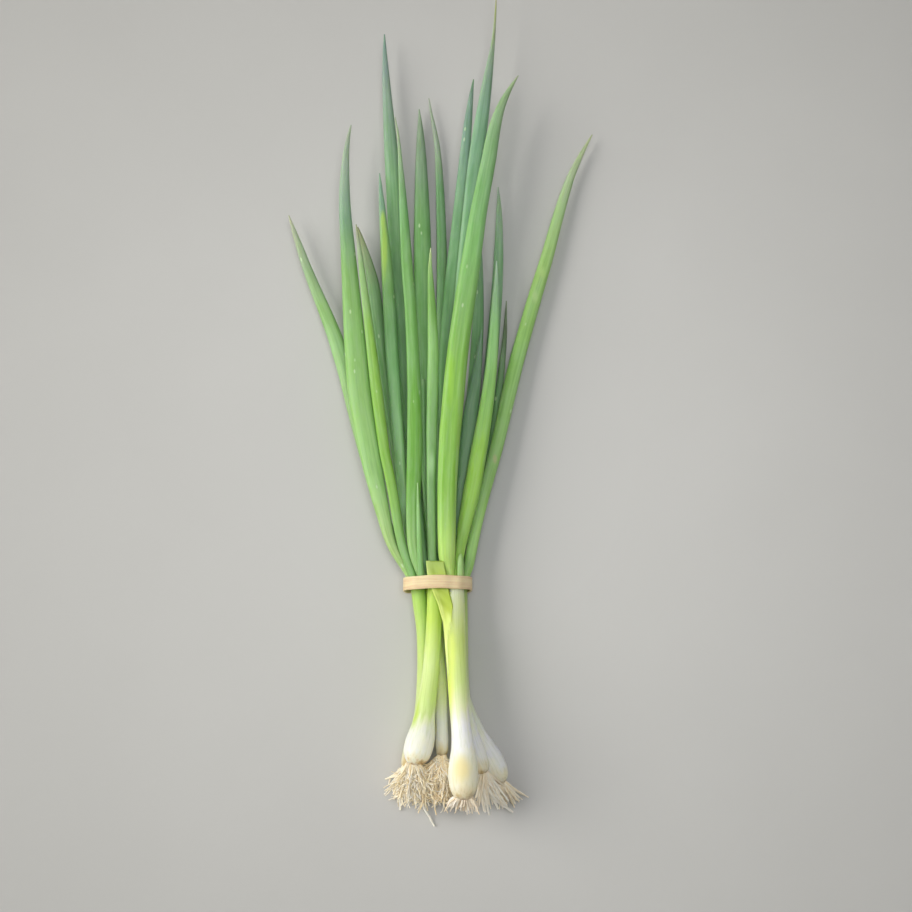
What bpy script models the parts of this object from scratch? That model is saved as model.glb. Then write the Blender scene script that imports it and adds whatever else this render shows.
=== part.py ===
"""A bunch of six spring onions lying down, held by one rubber band.

Sizes are in millimetres and turned into metres where a mesh is made. Before the last step the
origin is at the middle of the band's resting side. +Y runs along the bunch to the leaf tips, the
bulbs and roots are towards -Y, +Z is up. The last step puts the origin under the middle of the
whole bunch.
"""

import math

import bpy

MM = 0.001

# Rubber band: half width and half height of its centre line, height of its middle.
BAND_HALF_WIDTH = 15.05
BAND_HALF_HEIGHT = 9.6
BAND_MIDDLE = 9.75
BAND_SQUARENESS = 2.3
BAND_WIDE = 6.0
BAND_THICK = 1.1
BAND_CHAMFER = 0.3
BAND_SEGMENTS = 36

# Sides of the cross-sections.
STEM_SIDES = 12
LEAF_SIDES = 8
ROOT_LOBES = 7
ROOT_GROOVE = 0.22  # depth of the grooves at a tuft's end, as a share of its half width
SHARP_FROM = math.radians(50.0)

# How flat a leaf is: thickness as a share of its width, at the band and in the open.
LEAF_ROUND = 0.84
LEAF_FLAT = 0.55
LEAF_FLAT_FROM = 45.0

# Bulb and white shank of each onion, one grown piece: x, y, z and radius from the basal plate up
# to where the shank divides into leaves under the band.
STEMS = {
    "left_low": [
        (-13.2, -83.0, 3.8, 2.0), (-12.6, -81.0, 4.2, 3.8), (-10.8, -75.5, 4.65, 4.8),
        (-8.6, -66.0, 5.1, 4.2), (-6.9, -56.0, 5.8, 3.6), (-6.9, -40.0, 7.0, 3.4),
        (-7.7, -22.0, 7.8, 3.5), (-9.5, -6.0, 8.5, 3.6), (-9.9, 0.0, 8.6, 3.5),
    ],
    "left_top": [
        (-10.6, -80.4, 16.2, 2.2), (-10.1, -78.8, 16.3, 4.6), (-9.0, -76.0, 16.4, 6.0),
        (-7.7, -71.5, 16.4, 6.4), (-6.8, -67.0, 16.2, 5.9), (-5.8, -61.0, 15.9, 4.8),
        (-4.7, -54.0, 15.5, 4.1), (-3.1, -40.0, 14.8, 3.8), (-2.0, -22.0, 13.6, 3.7),
        (-1.6, -5.0, 12.3, 3.6), (-1.6, 0.0, 12.2, 3.4),
    ],
    "middle": [
        (2.2, -76.5, 12.0, 1.6), (2.1, -75.0, 12.1, 2.6), (2.0, -70.0, 12.2, 2.9),
        (1.9, -60.0, 11.8, 2.6), (1.7, -45.0, 10.2, 2.5), (0.4, -32.0, 8.2, 2.5),
        (-1.5, -20.0, 6.0, 2.6), (-3.2, -5.0, 5.0, 2.7), (-3.4, 0.0, 5.0, 2.6),
    ],
    "right_top": [
        (11.8, -95.2, 22.4, 2.6), (11.7, -93.2, 22.5, 4.7), (11.5, -89.5, 22.7, 6.1),
        (11.4, -85.0, 22.9, 6.6), (11.4, -79.5, 23.2, 6.1), (11.3, -73.0, 22.9, 5.1),
        (10.7, -65.0, 21.8, 4.3), (9.8, -55.0, 20.2, 4.0), (9.1, -41.0, 18.3, 4.1),
        (8.5, -24.0, 15.9, 4.1), (8.4, -9.0, 14.1, 3.8), (8.3, 0.0, 13.6, 3.4),
    ],
    "right_mid": [
        (20.3, -83.9, 14.1, 2.0), (19.8, -82.0, 14.4, 3.4), (18.1, -77.6, 14.9, 4.1),
        (16.2, -72.0, 14.8, 4.0), (13.9, -65.0, 13.8, 3.7), (11.6, -55.0, 12.6, 3.4),
        (10.8, -40.0, 11.0, 3.2), (10.7, -22.0, 8.8, 3.1), (10.6, -5.0, 7.2, 3.0),
        (10.6, 0.0, 7.1, 2.9),
    ],
    "right_low": [
        (28.6, -88.0, 5.2, 2.2), (27.8, -86.5, 5.3, 4.2), (26.0, -83.0, 5.4, 5.5),
        (23.8, -78.5, 5.5, 5.7), (20.6, -72.5, 5.1, 5.1), (16.9, -65.5, 4.7, 4.3),
        (12.2, -54.0, 4.3, 3.7), (8.2, -40.0, 4.0, 3.5), (5.0, -22.0, 4.1, 3.5),
        (3.6, -5.0, 4.8, 3.5), (3.6, 0.0, 4.9, 3.4),
    ],
}

# Root tuft of each onion: x, y, z, half width and half thickness, from under the basal plate to
# the cut or dried ends.
ROOTS = {
    "left_low_roots": [
        (-13.4, -83.6, 3.9, 1.8, 1.6), (-14.0, -87.0, 3.8, 4.0, 2.4),
        (-14.4, -92.0, 3.5, 6.2, 2.6), (-14.0, -97.5, 3.0, 7.0, 2.2),
    ],
    "left_top_roots": [
        (-10.7, -81.0, 16.2, 1.9, 1.9), (-11.2, -82.6, 16.0, 3.8, 3.0), (-11.8, -85.0, 14.8, 5.6, 3.2),
        (-12.2, -89.5, 11.8, 7.4, 3.2), (-11.6, -95.5, 9.6, 7.8, 2.2),
    ],
    "middle_roots": [
        (2.2, -77.2, 12.0, 1.4, 1.4), (2.0, -80.5, 11.6, 3.2, 2.4),
        (1.6, -87.0, 8.8, 4.6, 3.0), (0.8, -95.0, 5.2, 6.0, 2.4), (0.0, -102.0, 3.8, 5.6, 2.2),
    ],
    "right_top_roots": [
        (11.9, -95.8, 22.4, 2.3, 2.3), (11.9, -96.8, 22.3, 4.2, 3.4),
        (11.6, -99.4, 21.2, 6.8, 3.6), (11.4, -101.6, 19.8, 6.8, 2.6),
    ],
    "right_mid_roots": [
        (20.6, -84.6, 13.9, 1.8, 1.8), (21.2, -87.5, 12.8, 3.4, 2.2),
        (22.4, -93.0, 11.2, 4.6, 2.4), (23.6, -98.5, 9.6, 4.4, 1.8),
    ],
    "right_low_roots": [
        (29.0, -88.8, 5.1, 2.0, 1.9), (29.9, -91.0, 4.4, 3.6, 2.4),
        (31.8, -95.5, 3.4, 4.4, 2.2), (33.6, -99.5, 2.8, 3.6, 1.6),
    ],
}

# Leaves, hollow in life and solid here: x, y, z and width along each, from the band to the tip.
LEAVES = {
    "left_low_leaf_a": [
        (-12.2, 0.6, 9.5, 3.4), (-12.5, 3.6, 9.5, 3.4), (-16.1, 9.4, 9.9, 3.9),
        (-22.1, 20.0, 11.5, 4.8), (-27.3, 42.0, 13.0, 7.6), (-32.8, 68.0, 13.8, 10.0),
        (-36.6, 92.0, 14.2, 10.6), (-39.4, 123.0, 14.4, 9.3), (-42.6, 160.0, 14.6, 6.6),
        (-44.3, 190.0, 14.8, 4.8), (-43.6, 206.0, 14.8, 2.9), (-41.6, 219.0, 14.6, 0.9),
    ],
    "left_low_leaf_b": [
        (-10.7, 0.6, 12.5, 3.3), (-11.1, 3.2, 12.6, 3.3), (-13.3, 9.0, 13.0, 3.8),
        (-16.7, 20.0, 13.7, 4.3), (-20.1, 40.0, 15.0, 4.6), (-24.2, 60.0, 16.0, 4.9),
        (-28.5, 91.0, 16.6, 5.3), (-32.3, 122.0, 16.6, 4.0), (-36.4, 153.0, 16.4, 2.8),
        (-38.6, 169.0, 16.2, 0.9),
    ],
    "left_low_leaf_c": [
        (-10.8, 0.6, 6.0, 3.4), (-11.1, 3.2, 6.0, 3.4), (-14.0, 9.0, 6.0, 3.7),
        (-20.6, 21.0, 6.0, 4.4), (-30.0, 50.0, 6.0, 5.6), (-36.2, 72.0, 6.0, 6.8),
        (-42.6, 98.0, 6.0, 7.4), (-48.6, 118.0, 6.0, 7.2), (-53.6, 131.0, 6.2, 5.8),
        (-61.0, 149.0, 6.6, 4.6), (-67.2, 165.0, 7.0, 2.8), (-71.2, 176.5, 7.2, 0.9),
    ],
    "left_low_leaf_d": [
        (-8.3, 0.6, 8.9, 3.1), (-8.4, 3.2, 8.9, 3.2), (-10.4, 12.0, 9.7, 3.8),
        (-14.6, 33.0, 10.6, 4.4), (-18.5, 71.0, 11.4, 5.4), (-21.7, 110.0, 11.6, 6.1),
        (-23.4, 140.0, 11.6, 5.6), (-25.9, 169.0, 11.6, 3.8), (-28.0, 196.0, 11.4, 0.9),
    ],
    "left_top_leaf_a": [
        (-6.6, 0.6, 13.2, 3.8), (-7.0, 3.2, 13.7, 3.9), (-9.4, 9.0, 15.2, 4.6),
        (-11.2, 18.0, 16.2, 5.2), (-11.2, 37.0, 17.2, 6.4), (-10.4, 62.0, 18.0, 7.1),
        (-10.9, 90.0, 18.6, 6.4), (-12.8, 128.0, 19.2, 5.4), (-14.9, 155.0, 19.4, 5.2),
        (-16.7, 184.0, 19.4, 3.4), (-18.6, 209.0, 19.2, 1.5), (-20.6, 221.0, 19.0, 0.8),
    ],
    "left_top_leaf_b": [
        (-2.5, 0.6, 14.4, 3.8), (-2.6, 8.0, 15.0, 3.8), (-2.7, 20.0, 16.2, 3.7),
        (-3.0, 45.0, 18.2, 3.9), (-2.8, 70.0, 19.0, 5.0), (-2.2, 106.0, 19.4, 5.2),
        (-3.0, 130.0, 19.4, 3.9), (-3.8, 147.0, 19.4, 2.2), (-3.5, 156.5, 19.2, 0.8),
    ],
    "left_top_leaf_c": [
        (-4.5, 0.6, 10.2, 3.2), (-4.6, 3.2, 10.1, 3.2), (-7.6, 20.0, 8.5, 4.2),
        (-12.2, 60.0, 7.2, 5.8), (-15.8, 105.0, 6.6, 7.0), (-18.6, 143.0, 6.6, 7.5),
        (-21.3, 190.0, 6.8, 7.4), (-23.6, 220.0, 7.2, 5.8), (-25.5, 246.0, 7.8, 3.6),
        (-26.4, 268.0, 8.2, 0.9),
    ],
    "left_top_leaf_d": [
        (-7.2, 0.6, 15.9, 2.4), (-7.6, 8.0, 17.8, 2.6), (-8.3, 22.0, 19.6, 2.3),
        (-9.1, 45.0, 21.4, 0.8),
    ],
    "middle_leaf_a": [
        (-3.9, 0.6, 6.6, 3.6), (-4.0, 3.2, 6.4, 3.6), (-4.6, 20.0, 4.6, 4.4),
        (-5.3, 60.0, 2.8, 6.4), (-6.7, 120.0, 2.3, 8.0), (-7.4, 148.0, 2.3, 8.5),
        (-8.0, 184.0, 2.4, 7.2), (-8.6, 212.0, 2.9, 4.8), (-9.5, 231.5, 3.6, 0.9),
    ],
    "middle_leaf_b": [
        (-0.1, 0.6, 7.9, 3.5), (0.0, 3.2, 7.7, 3.5), (0.3, 10.0, 6.6, 3.8), (0.8, 20.0, 5.4, 4.2),
        (1.3, 60.0, 2.8, 5.0), (1.6, 135.0, 1.8, 5.0), (1.1, 178.0, 2.0, 4.4),
        (-0.6, 212.0, 3.0, 3.0), (-3.3, 227.0, 3.4, 1.6), (-4.9, 237.0, 3.6, 0.8),
    ],
    "middle_leaf_c": [
        (-0.5, 0.6, 11.4, 3.2), (-0.6, 3.2, 11.4, 3.2), (-3.2, 22.0, 11.6, 3.6),
        (-6.2, 60.0, 12.2, 3.8), (-7.0, 88.0, 12.4, 3.4), (-7.2, 95.0, 12.4, 2.8),
    ],
    "right_top_leaf_a": [
        (5.4, 0.6, 15.2, 4.8), (5.8, 8.0, 16.0, 5.6), (5.0, 16.0, 17.0, 7.0),
        (4.1, 30.0, 18.6, 8.2), (4.9, 57.0, 20.4, 9.2), (6.3, 77.0, 21.0, 9.9),
        (9.6, 110.0, 21.4, 9.6), (14.2, 142.0, 21.6, 9.5), (18.6, 172.0, 21.8, 7.8),
        (24.0, 199.0, 22.0, 7.1), (27.0, 216.0, 22.2, 6.0), (31.4, 229.0, 22.4, 3.4),
        (37.6, 240.0, 22.6, 0.9),
    ],
    "right_top_leaf_b": [
        (3.1, 0.6, 11.5, 3.6), (3.1, 3.2, 11.6, 3.6), (3.6, 20.0, 13.2, 4.2),
        (5.0, 60.0, 14.6, 5.4), (9.0, 115.0, 15.2, 6.5), (14.9, 174.0, 15.4, 7.1),
        (18.2, 205.0, 15.4, 7.1), (21.2, 226.0, 15.4, 6.3), (24.6, 249.0, 15.6, 3.6),
        (26.6, 265.0, 15.8, 1.7), (27.6, 284.0, 16.0, 0.8),
    ],
    "right_top_sheath": [
        (10.3, 0.6, 14.5, 2.8), (10.4, 7.0, 15.3, 3.1), (10.4, 11.5, 15.8, 2.7),
        (10.3, 13.4, 15.9, 1.4),
    ],
    "right_mid_leaf_a": [
        (8.8, 0.6, 11.5, 3.7), (9.1, 8.0, 12.0, 4.0), (10.4, 16.0, 12.6, 4.6),
        (12.2, 27.0, 13.4, 6.4), (14.8, 39.0, 13.9, 7.6), (18.2, 58.0, 14.4, 7.6),
        (22.0, 80.0, 14.6, 6.5), (24.9, 102.0, 14.8, 5.3), (26.5, 130.0, 14.8, 3.7),
        (27.3, 151.0, 15.0, 0.9),
    ],
    "right_mid_leaf_b": [
        (12.3, 0.6, 9.6, 3.4), (12.6, 3.2, 9.7, 3.4), (14.1, 8.5, 9.9, 4.5),
        (15.4, 16.5, 10.0, 5.0), (20.3, 38.5, 9.6, 5.3), (26.0, 60.0, 8.6, 5.9),
        (32.2, 87.5, 7.4, 6.7), (40.8, 121.0, 6.2, 6.8), (51.4, 157.0, 5.4, 6.1),
        (60.1, 187.5, 5.0, 5.0), (67.0, 205.0, 4.8, 3.0), (73.7, 217.5, 4.6, 0.9),
    ],
    "right_mid_leaf_c": [
        (7.8, 0.6, 7.9, 3.5), (7.9, 3.2, 7.9, 3.5), (8.6, 20.0, 8.2, 4.2),
        (10.3, 44.0, 8.2, 6.0), (12.6, 62.0, 8.2, 7.2), (15.3, 82.0, 8.4, 6.6),
        (18.0, 99.0, 8.8, 4.4), (20.3, 120.0, 9.0, 0.9),
    ],
    "right_mid_leaf_d": [
        (11.0, 0.6, 5.6, 3.0), (11.2, 3.2, 5.6, 3.0), (15.2, 20.0, 5.4, 3.6),
        (22.4, 52.5, 4.4, 4.0), (28.3, 91.0, 3.6, 3.6), (31.3, 119.0, 3.4, 2.2),
        (32.1, 135.0, 3.4, 0.8),
    ],
    "right_low_leaf_a": [
        (3.9, 0.6, 7.4, 3.4), (3.9, 3.2, 7.6, 3.4), (3.8, 10.0, 8.8, 3.6), (3.4, 20.0, 9.6, 4.0),
        (2.8, 60.0, 10.0, 5.0), (3.2, 105.0, 10.2, 5.8), (7.0, 150.0, 10.4, 6.6),
        (10.6, 186.0, 10.6, 5.6), (13.4, 215.0, 10.8, 4.6), (15.2, 232.0, 11.0, 2.8),
        (16.7, 243.0, 11.2, 0.9),
    ],
    "right_low_leaf_b": [
        (5.3, 0.6, 3.4, 3.4), (5.5, 3.2, 3.3, 3.4), (9.4, 20.0, 2.8, 4.2),
        (14.6, 42.0, 2.2, 5.0), (22.4, 84.0, 1.7, 6.0), (27.2, 134.0, 1.6, 5.4),
        (28.8, 166.0, 2.4, 4.0), (28.9, 180.0, 2.8, 2.8), (28.4, 192.0, 3.4, 0.9),
    ],
    "right_low_leaf_c": [
        (1.2, 0.6, 3.3, 3.4), (1.4, 3.2, 3.2, 3.4), (5.0, 20.0, 2.6, 4.0),
        (9.2, 42.0, 1.9, 5.0), (15.6, 84.0, 1.65, 6.0), (18.4, 120.0, 1.6, 5.6),
        (19.4, 152.0, 1.9, 3.6), (19.2, 172.0, 2.6, 0.9),
    ],
    "left_low_leaf_e": [
        (-7.3, 0.6, 5.2, 3.2), (-7.4, 3.2, 5.0, 3.2), (-12.4, 26.0, 3.4, 4.4),
        (-18.8, 60.0, 1.8, 5.2), (-24.4, 95.0, 1.6, 5.8), (-31.2, 146.0, 1.9, 5.8),
        (-35.6, 163.0, 3.0, 3.0), (-38.6, 172.0, 3.6, 0.9),
    ],
}

# The cut leaf: a flattened stub with a square end, which peels off the front onion's shank below
# the band. x, y, z, width and thickness.
CUT_LEAF = [
    (5.0, -34.0, 20.7, 1.4, 0.7), (4.8, -27.0, 20.0, 2.2, 0.8), (4.5, -20.0, 19.2, 2.8, 0.9),
    (4.0, -14.0, 18.7, 4.6, 1.2), (2.8, -9.0, 18.0, 6.4, 1.4),
    (1.5, -4.0, 17.6, 7.4, 1.6), (0.3, 0.0, 17.5, 8.3, 1.7), (-0.4, 4.0, 17.5, 8.5, 1.7),
    (-1.2, 9.8, 17.7, 8.1, 1.8),
]

# Linear colour and roughness: waxy white shanks, dry straw roots, waxy leaves, dull rubber.
FINISHES = {
    "bulb": ((0.80, 0.82, 0.66, 1.0), 0.40),
    "roots": ((0.55, 0.42, 0.25, 1.0), 0.85),
    "leaf": ((0.16, 0.33, 0.07, 1.0), 0.45),
    "band": ((0.78, 0.60, 0.38, 1.0), 0.60),
}


def cross(a, b):
    return (a[1] * b[2] - a[2] * b[1], a[2] * b[0] - a[0] * b[2], a[0] * b[1] - a[1] * b[0])


def unit(v):
    length = math.sqrt(sum(c * c for c in v))
    return tuple(c / length for c in v)


def swept(sections, outline):
    """Vertices and faces of a closed tube: outline(i) gives the ring of section i as (across, up)."""
    verts = []
    count = len(sections)
    for i, section in enumerate(sections):
        here = section[:3]
        before = sections[max(i - 1, 0)][:3]
        after = sections[min(i + 1, count - 1)][:3]
        along = unit(tuple(b - a for a, b in zip(before, after)))
        across = unit(cross(along, (0.0, 0.0, 1.0)))
        up = cross(across, along)
        for u, v in outline(i):
            verts.append(tuple(here[k] + across[k] * u + up[k] * v for k in range(3)))
    sides = len(verts) // count
    faces = [tuple(range(sides))]
    for i in range(count - 1):
        for j in range(sides):
            k = (j + 1) % sides
            faces.append((i * sides + k, i * sides + j, (i + 1) * sides + j, (i + 1) * sides + k))
    faces.append(tuple(reversed(range((count - 1) * sides, count * sides))))
    return verts, faces


def add_piece(name, verts, faces, finish):
    """A smooth-shaded object from vertices in millimetres, its faces turned outwards."""
    mesh = bpy.data.meshes.new(name)
    mesh.from_pydata([tuple(c * MM for c in v) for v in verts], [], faces)
    mesh.shade_smooth()
    mesh.set_sharp_from_angle(angle=SHARP_FROM)
    piece = bpy.data.objects.new(name, mesh)
    bpy.context.collection.objects.link(piece)
    bpy.context.view_layer.objects.active = piece
    piece.select_set(True)
    bpy.ops.object.mode_set(mode="EDIT")
    bpy.ops.mesh.select_all(action="SELECT")
    bpy.ops.mesh.normals_make_consistent(inside=False)
    bpy.ops.object.mode_set(mode="OBJECT")
    piece.select_set(False)
    material = bpy.data.materials.new(name)
    material.use_nodes = True
    shader = material.node_tree.nodes["Principled BSDF"]
    colour, roughness = FINISHES[finish]
    shader.inputs["Base Color"].default_value = colour
    shader.inputs["Roughness"].default_value = roughness
    mesh.materials.append(material)
    return piece


def oval(width, thickness, sides):
    """A ring of points on an oval that rests on one of its sides."""
    ring = []
    for j in range(sides):
        a = 2 * math.pi * (j + 0.5) / sides
        ring.append((0.5 * width * math.cos(a), 0.5 * thickness * math.sin(a)))
    return ring


def add_stem(name, points):
    """A round, solid onion: the bulb and the shank that grows out of it."""
    verts, faces = swept(points, lambda i: oval(2 * points[i][3], 2 * points[i][3], STEM_SIDES))
    return add_piece(name, verts, faces, "bulb")


def add_roots(name, points):
    """A tuft as one fluted body that spreads from the basal plate."""
    last = len(points) - 1

    def outline(i):
        half_width, half_thick = points[i][3:5]
        ring = []
        for j in range(2 * ROOT_LOBES):
            a = 2 * math.pi * (j + 0.5) / (2 * ROOT_LOBES)
            reach = 1.0 if j % 2 else 1.0 - ROOT_GROOVE * i / last
            ring.append((half_width * reach * math.cos(a), half_thick * reach * math.sin(a)))
        return ring

    verts, faces = swept(points, outline)
    return add_piece(name, verts, faces, "roots")


def add_leaf(name, points):
    """A leaf: almost round where the band holds it, flatter in the open."""
    def outline(i):
        openness = min(max(points[i][1] / LEAF_FLAT_FROM, 0.0), 1.0)
        share = LEAF_ROUND + (LEAF_FLAT - LEAF_ROUND) * openness
        return oval(points[i][3], points[i][3] * share, LEAF_SIDES)

    verts, faces = swept(points, outline)
    return add_piece(name, verts, faces, "leaf")


def add_band():
    """A closed loop across Y, flat where it rests, with a strip section."""
    loop = []
    for i in range(BAND_SEGMENTS):
        a = 2 * math.pi * (i + 0.5) / BAND_SEGMENTS
        c, s = math.cos(a), math.sin(a)
        x = math.copysign(abs(c) ** (2 / BAND_SQUARENESS), c) * BAND_HALF_WIDTH
        z = math.copysign(abs(s) ** (2 / BAND_SQUARENESS), s) * BAND_HALF_HEIGHT + BAND_MIDDLE
        loop.append((x, max(z, 0.5 * BAND_THICK)))
    verts = []
    half = 0.5 * BAND_THICK
    edge = 0.5 * BAND_WIDE
    section = [(-edge, -half), (edge, -half), (edge, half - BAND_CHAMFER), (edge - BAND_CHAMFER, half),
               (BAND_CHAMFER - edge, half), (-edge, half - BAND_CHAMFER)]
    for i in range(BAND_SEGMENTS):
        x0, z0 = loop[i - 1]
        x1, z1 = loop[(i + 1) % BAND_SEGMENTS]
        length = math.hypot(x1 - x0, z1 - z0)
        out = ((z1 - z0) / length, -(x1 - x0) / length)
        x, z = loop[i]
        for along, off in section:
            verts.append((x + out[0] * off, along, max(z + out[1] * off, 0.0)))
    faces = []
    n = len(section)
    for i in range(BAND_SEGMENTS):
        m = (i + 1) % BAND_SEGMENTS
        for j in range(n):
            k = (j + 1) % n
            faces.append((i * n + j, i * n + k, m * n + k, m * n + j))
    return add_piece("rubber_band", verts, faces, "band")


for old in list(bpy.data.objects):
    bpy.data.objects.remove(old, do_unlink=True)

pieces = [add_band()]
for onion, path in STEMS.items():
    pieces.append(add_stem(onion + "_bulb", path))
for tuft, path in ROOTS.items():
    pieces.append(add_roots(tuft, path))
for leaf, path in LEAVES.items():
    pieces.append(add_leaf(leaf, path))
stub_verts, stub_faces = swept(CUT_LEAF, lambda i: oval(*CUT_LEAF[i][3:5], LEAF_SIDES))
pieces.append(add_piece("right_top_cut_leaf", stub_verts, stub_faces, "leaf"))

# The origin goes under the middle of the bunch.
corners = [v.co for piece in pieces for v in piece.data.vertices]
low = [min(c[k] for c in corners) for k in range(3)]
high = [max(c[k] for c in corners) for k in range(3)]
middle = ((low[0] + high[0]) / 2, (low[1] + high[1]) / 2, low[2])
for piece in pieces:
    for v in piece.data.vertices:
        v.co.x -= middle[0]
        v.co.y -= middle[1]
        v.co.z -= middle[2]
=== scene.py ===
"""A bunch of six spring onions lying on a pale surface, tied with one rubber band."""

import math
import random

import bmesh
import bpy
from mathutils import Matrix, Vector


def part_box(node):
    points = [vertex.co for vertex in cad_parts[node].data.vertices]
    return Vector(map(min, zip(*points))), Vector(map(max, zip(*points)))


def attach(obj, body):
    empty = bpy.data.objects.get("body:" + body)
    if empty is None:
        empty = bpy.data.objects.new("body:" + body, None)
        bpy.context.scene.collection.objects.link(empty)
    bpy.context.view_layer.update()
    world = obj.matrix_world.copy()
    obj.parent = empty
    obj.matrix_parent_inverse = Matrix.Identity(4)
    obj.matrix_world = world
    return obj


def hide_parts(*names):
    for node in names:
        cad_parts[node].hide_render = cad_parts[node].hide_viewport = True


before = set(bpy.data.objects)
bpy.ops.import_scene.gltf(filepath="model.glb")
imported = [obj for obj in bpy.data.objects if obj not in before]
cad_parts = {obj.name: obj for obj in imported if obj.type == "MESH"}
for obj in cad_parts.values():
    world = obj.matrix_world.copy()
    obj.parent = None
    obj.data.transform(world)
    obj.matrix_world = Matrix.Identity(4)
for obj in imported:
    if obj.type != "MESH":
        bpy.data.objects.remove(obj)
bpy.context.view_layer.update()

# ---------------------------------------------------------------------------------------------
# The surface, the light and the camera. A matt, warm grey worktop, a large soft window to the
# left of the bunch and a bright room round it. The camera looks down on the bunch.

MM = 0.001
FLOOR_SIDE = 4.0  # metres
FLOOR_CLOUD = 90  # mm, the size of the laminate's faint clouds

band_low, band_high = (Vector(corner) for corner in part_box("rubber_band"))
# The middle of the band's resting side: every place below is in millimetres from here.
ORIGIN = Vector(((band_low.x + band_high.x) / 2, (band_low.y + band_high.y) / 2, 0.0))


def place(x, y, z):
    """A point of the bunch, from millimetres to its place in the frame."""
    return ORIGIN + Vector((x, y, z)) * MM


def linear(code):
    """An sRGB hex colour as linear values, with full alpha."""
    shares = [int(code[i:i + 2], 16) / 255 for i in (1, 3, 5)]
    return [s / 12.92 if s <= 0.04045 else ((s + 0.055) / 1.055) ** 2.4 for s in shares] + [1.0]


def fill(tree, holder, inputs):
    """Sets a node's sockets to numbers, vectors or hex colours, or links them from nodes or sockets."""
    for key, value in inputs.items():
        if isinstance(value, bpy.types.Node):
            value = next(socket for socket in value.outputs if socket.enabled)
        if isinstance(value, bpy.types.NodeSocket):
            tree.links.new(value, holder.inputs[key])
        elif isinstance(value, str) and value.startswith("#"):
            holder.inputs[key].default_value = linear(value)
        else:
            holder.inputs[key].default_value = value


def node(tree, kind, *inputs, stops=(), **settings):
    """Adds a node with its settings: kind is Blender's name for it, with ShaderNode left off. Its
    inputs come in order, or as one dict by socket. A colour ramp has (position, colour) stops."""
    made = tree.nodes.new(kind if kind.startswith(("Geometry", "NodeGroup")) else "ShaderNode" + kind)
    for key, value in settings.items():
        setattr(made, key, value)
    if stops:
        elements = made.color_ramp.elements
        elements.remove(elements[1])
        elements[0].position = stops[0][0]
        elements[0].color = linear(stops[0][1])
        for position, code in stops[1:]:
            elements.new(position).color = linear(code)
    in_order = not (inputs and isinstance(inputs[0], dict))
    fill(tree, made, dict(enumerate(inputs)) if in_order else inputs[0])
    return made


def new_material(name):
    """A material that holds one Principled shader: its tree and the shader."""
    material = bpy.data.materials.new(name)
    material.use_nodes = True
    return material, material.node_tree, material.node_tree.nodes["Principled BSDF"]


# Matt laminate: hardly any gloss, and a faint cloudiness a hand wide.
worktop, tree, shader = new_material("matt_worktop_laminate")
spot = node(tree, "TexCoord").outputs["Object"]
cloud = node(tree, "TexNoise", {"Vector": spot, "Scale": 1 / (FLOOR_CLOUD * MM), "Detail": 2.0})
tone = node(tree, "Mix", {"Factor": cloud, 6: "#c5c4c0", 7: "#cbcac6"}, data_type="RGBA")
fill(tree, shader, {"Base Color": tone, "Roughness": 0.9, "Specular IOR Level": 0.1})

half = FLOOR_SIDE / 2
floor_mesh = bpy.data.meshes.new("worktop")
floor_mesh.from_pydata([(-half, -half, 0), (half, -half, 0), (half, half, 0), (-half, half, 0)], [],
                       [(0, 1, 2, 3)])
floor_mesh.materials.append(worktop)
floor = bpy.data.objects.new("worktop", floor_mesh)
bpy.context.collection.objects.link(floor)

AIM = place(8.3, 59.5, 10.0)


def add_window(name, azimuth, elevation, distance, side, power, code, spread=180.0):
    """A soft square lamp that faces the bunch. Azimuth 0 is at -Y, and 90 is at -X."""
    lamp = bpy.data.lights.new(name, "AREA")
    lamp.shape = "SQUARE"
    lamp.size = side
    lamp.energy = power
    lamp.spread = math.radians(spread)
    lamp.color = linear(code)[:3]
    holder = bpy.data.objects.new(name, lamp)
    flat = math.radians(azimuth)
    high = math.radians(elevation)
    way = Vector((-math.sin(flat) * math.cos(high), -math.cos(flat) * math.cos(high), math.sin(high)))
    holder.location = AIM + way * distance
    holder.rotation_euler = way.to_track_quat("Z", "Y").to_euler()
    bpy.context.collection.objects.link(holder)


add_window("window", azimuth=98, elevation=34, distance=3.4, side=2.3, power=100, code="#fffdf8")
add_window("ceiling", azimuth=265, elevation=86, distance=0.9, side=0.4, power=0.28, code="#fbfcff",
           spread=46.0)

room = bpy.data.worlds.new("bright_room")
room.use_nodes = True
fill(room.node_tree, room.node_tree.nodes["Background"], {"Color": "#eef0f2", "Strength": 0.27})
bpy.context.scene.world = room
bpy.context.scene.view_settings.view_transform = "Standard"

LOOKS_DOWN = math.radians(79.0)
CAMERA_AWAY = 0.8
PICTURE_WIDTH = 0.42  # of what shows at the bunch
lens = bpy.data.cameras.new("camera")
lens.sensor_width = 36.0
lens.lens = lens.sensor_width * CAMERA_AWAY / PICTURE_WIDTH
camera = bpy.data.objects.new("camera", lens)
camera.location = AIM + CAMERA_AWAY * Vector((0, -math.cos(LOOKS_DOWN), math.sin(LOOKS_DOWN)))
camera.rotation_euler = (math.pi / 2 - LOOKS_DOWN, 0, 0)
bpy.context.collection.objects.link(camera)
bpy.context.scene.camera = camera

# ---------------------------------------------------------------------------------------------
# The rubber band: one flat loop of cut natural rubber, beige, matt and a little dusty, stretched
# round the shanks. It bulges over each shank that it presses on, and is flat where it rests.

BAND_HALF_WIDTH = 15.05
BAND_HALF_HEIGHT = 9.6
BAND_MIDDLE = 9.75
BAND_SQUARENESS = 2.3
BAND_WIDE = 6.0
BAND_THICK = 1.1
BAND_ROUND = 0.35
BAND_STEPS = 180
CORNER_STEPS = 3
# Ripples round the loop, as (how many, height, turn): outwards, and along the bunch.
BAND_BULGES = ((9, 0.12, 0.0), (14, 0.08, 1.0))
BAND_SLIPS = ((1, 0.25, 0.6), (5, 0.12, 0.0))


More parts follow.
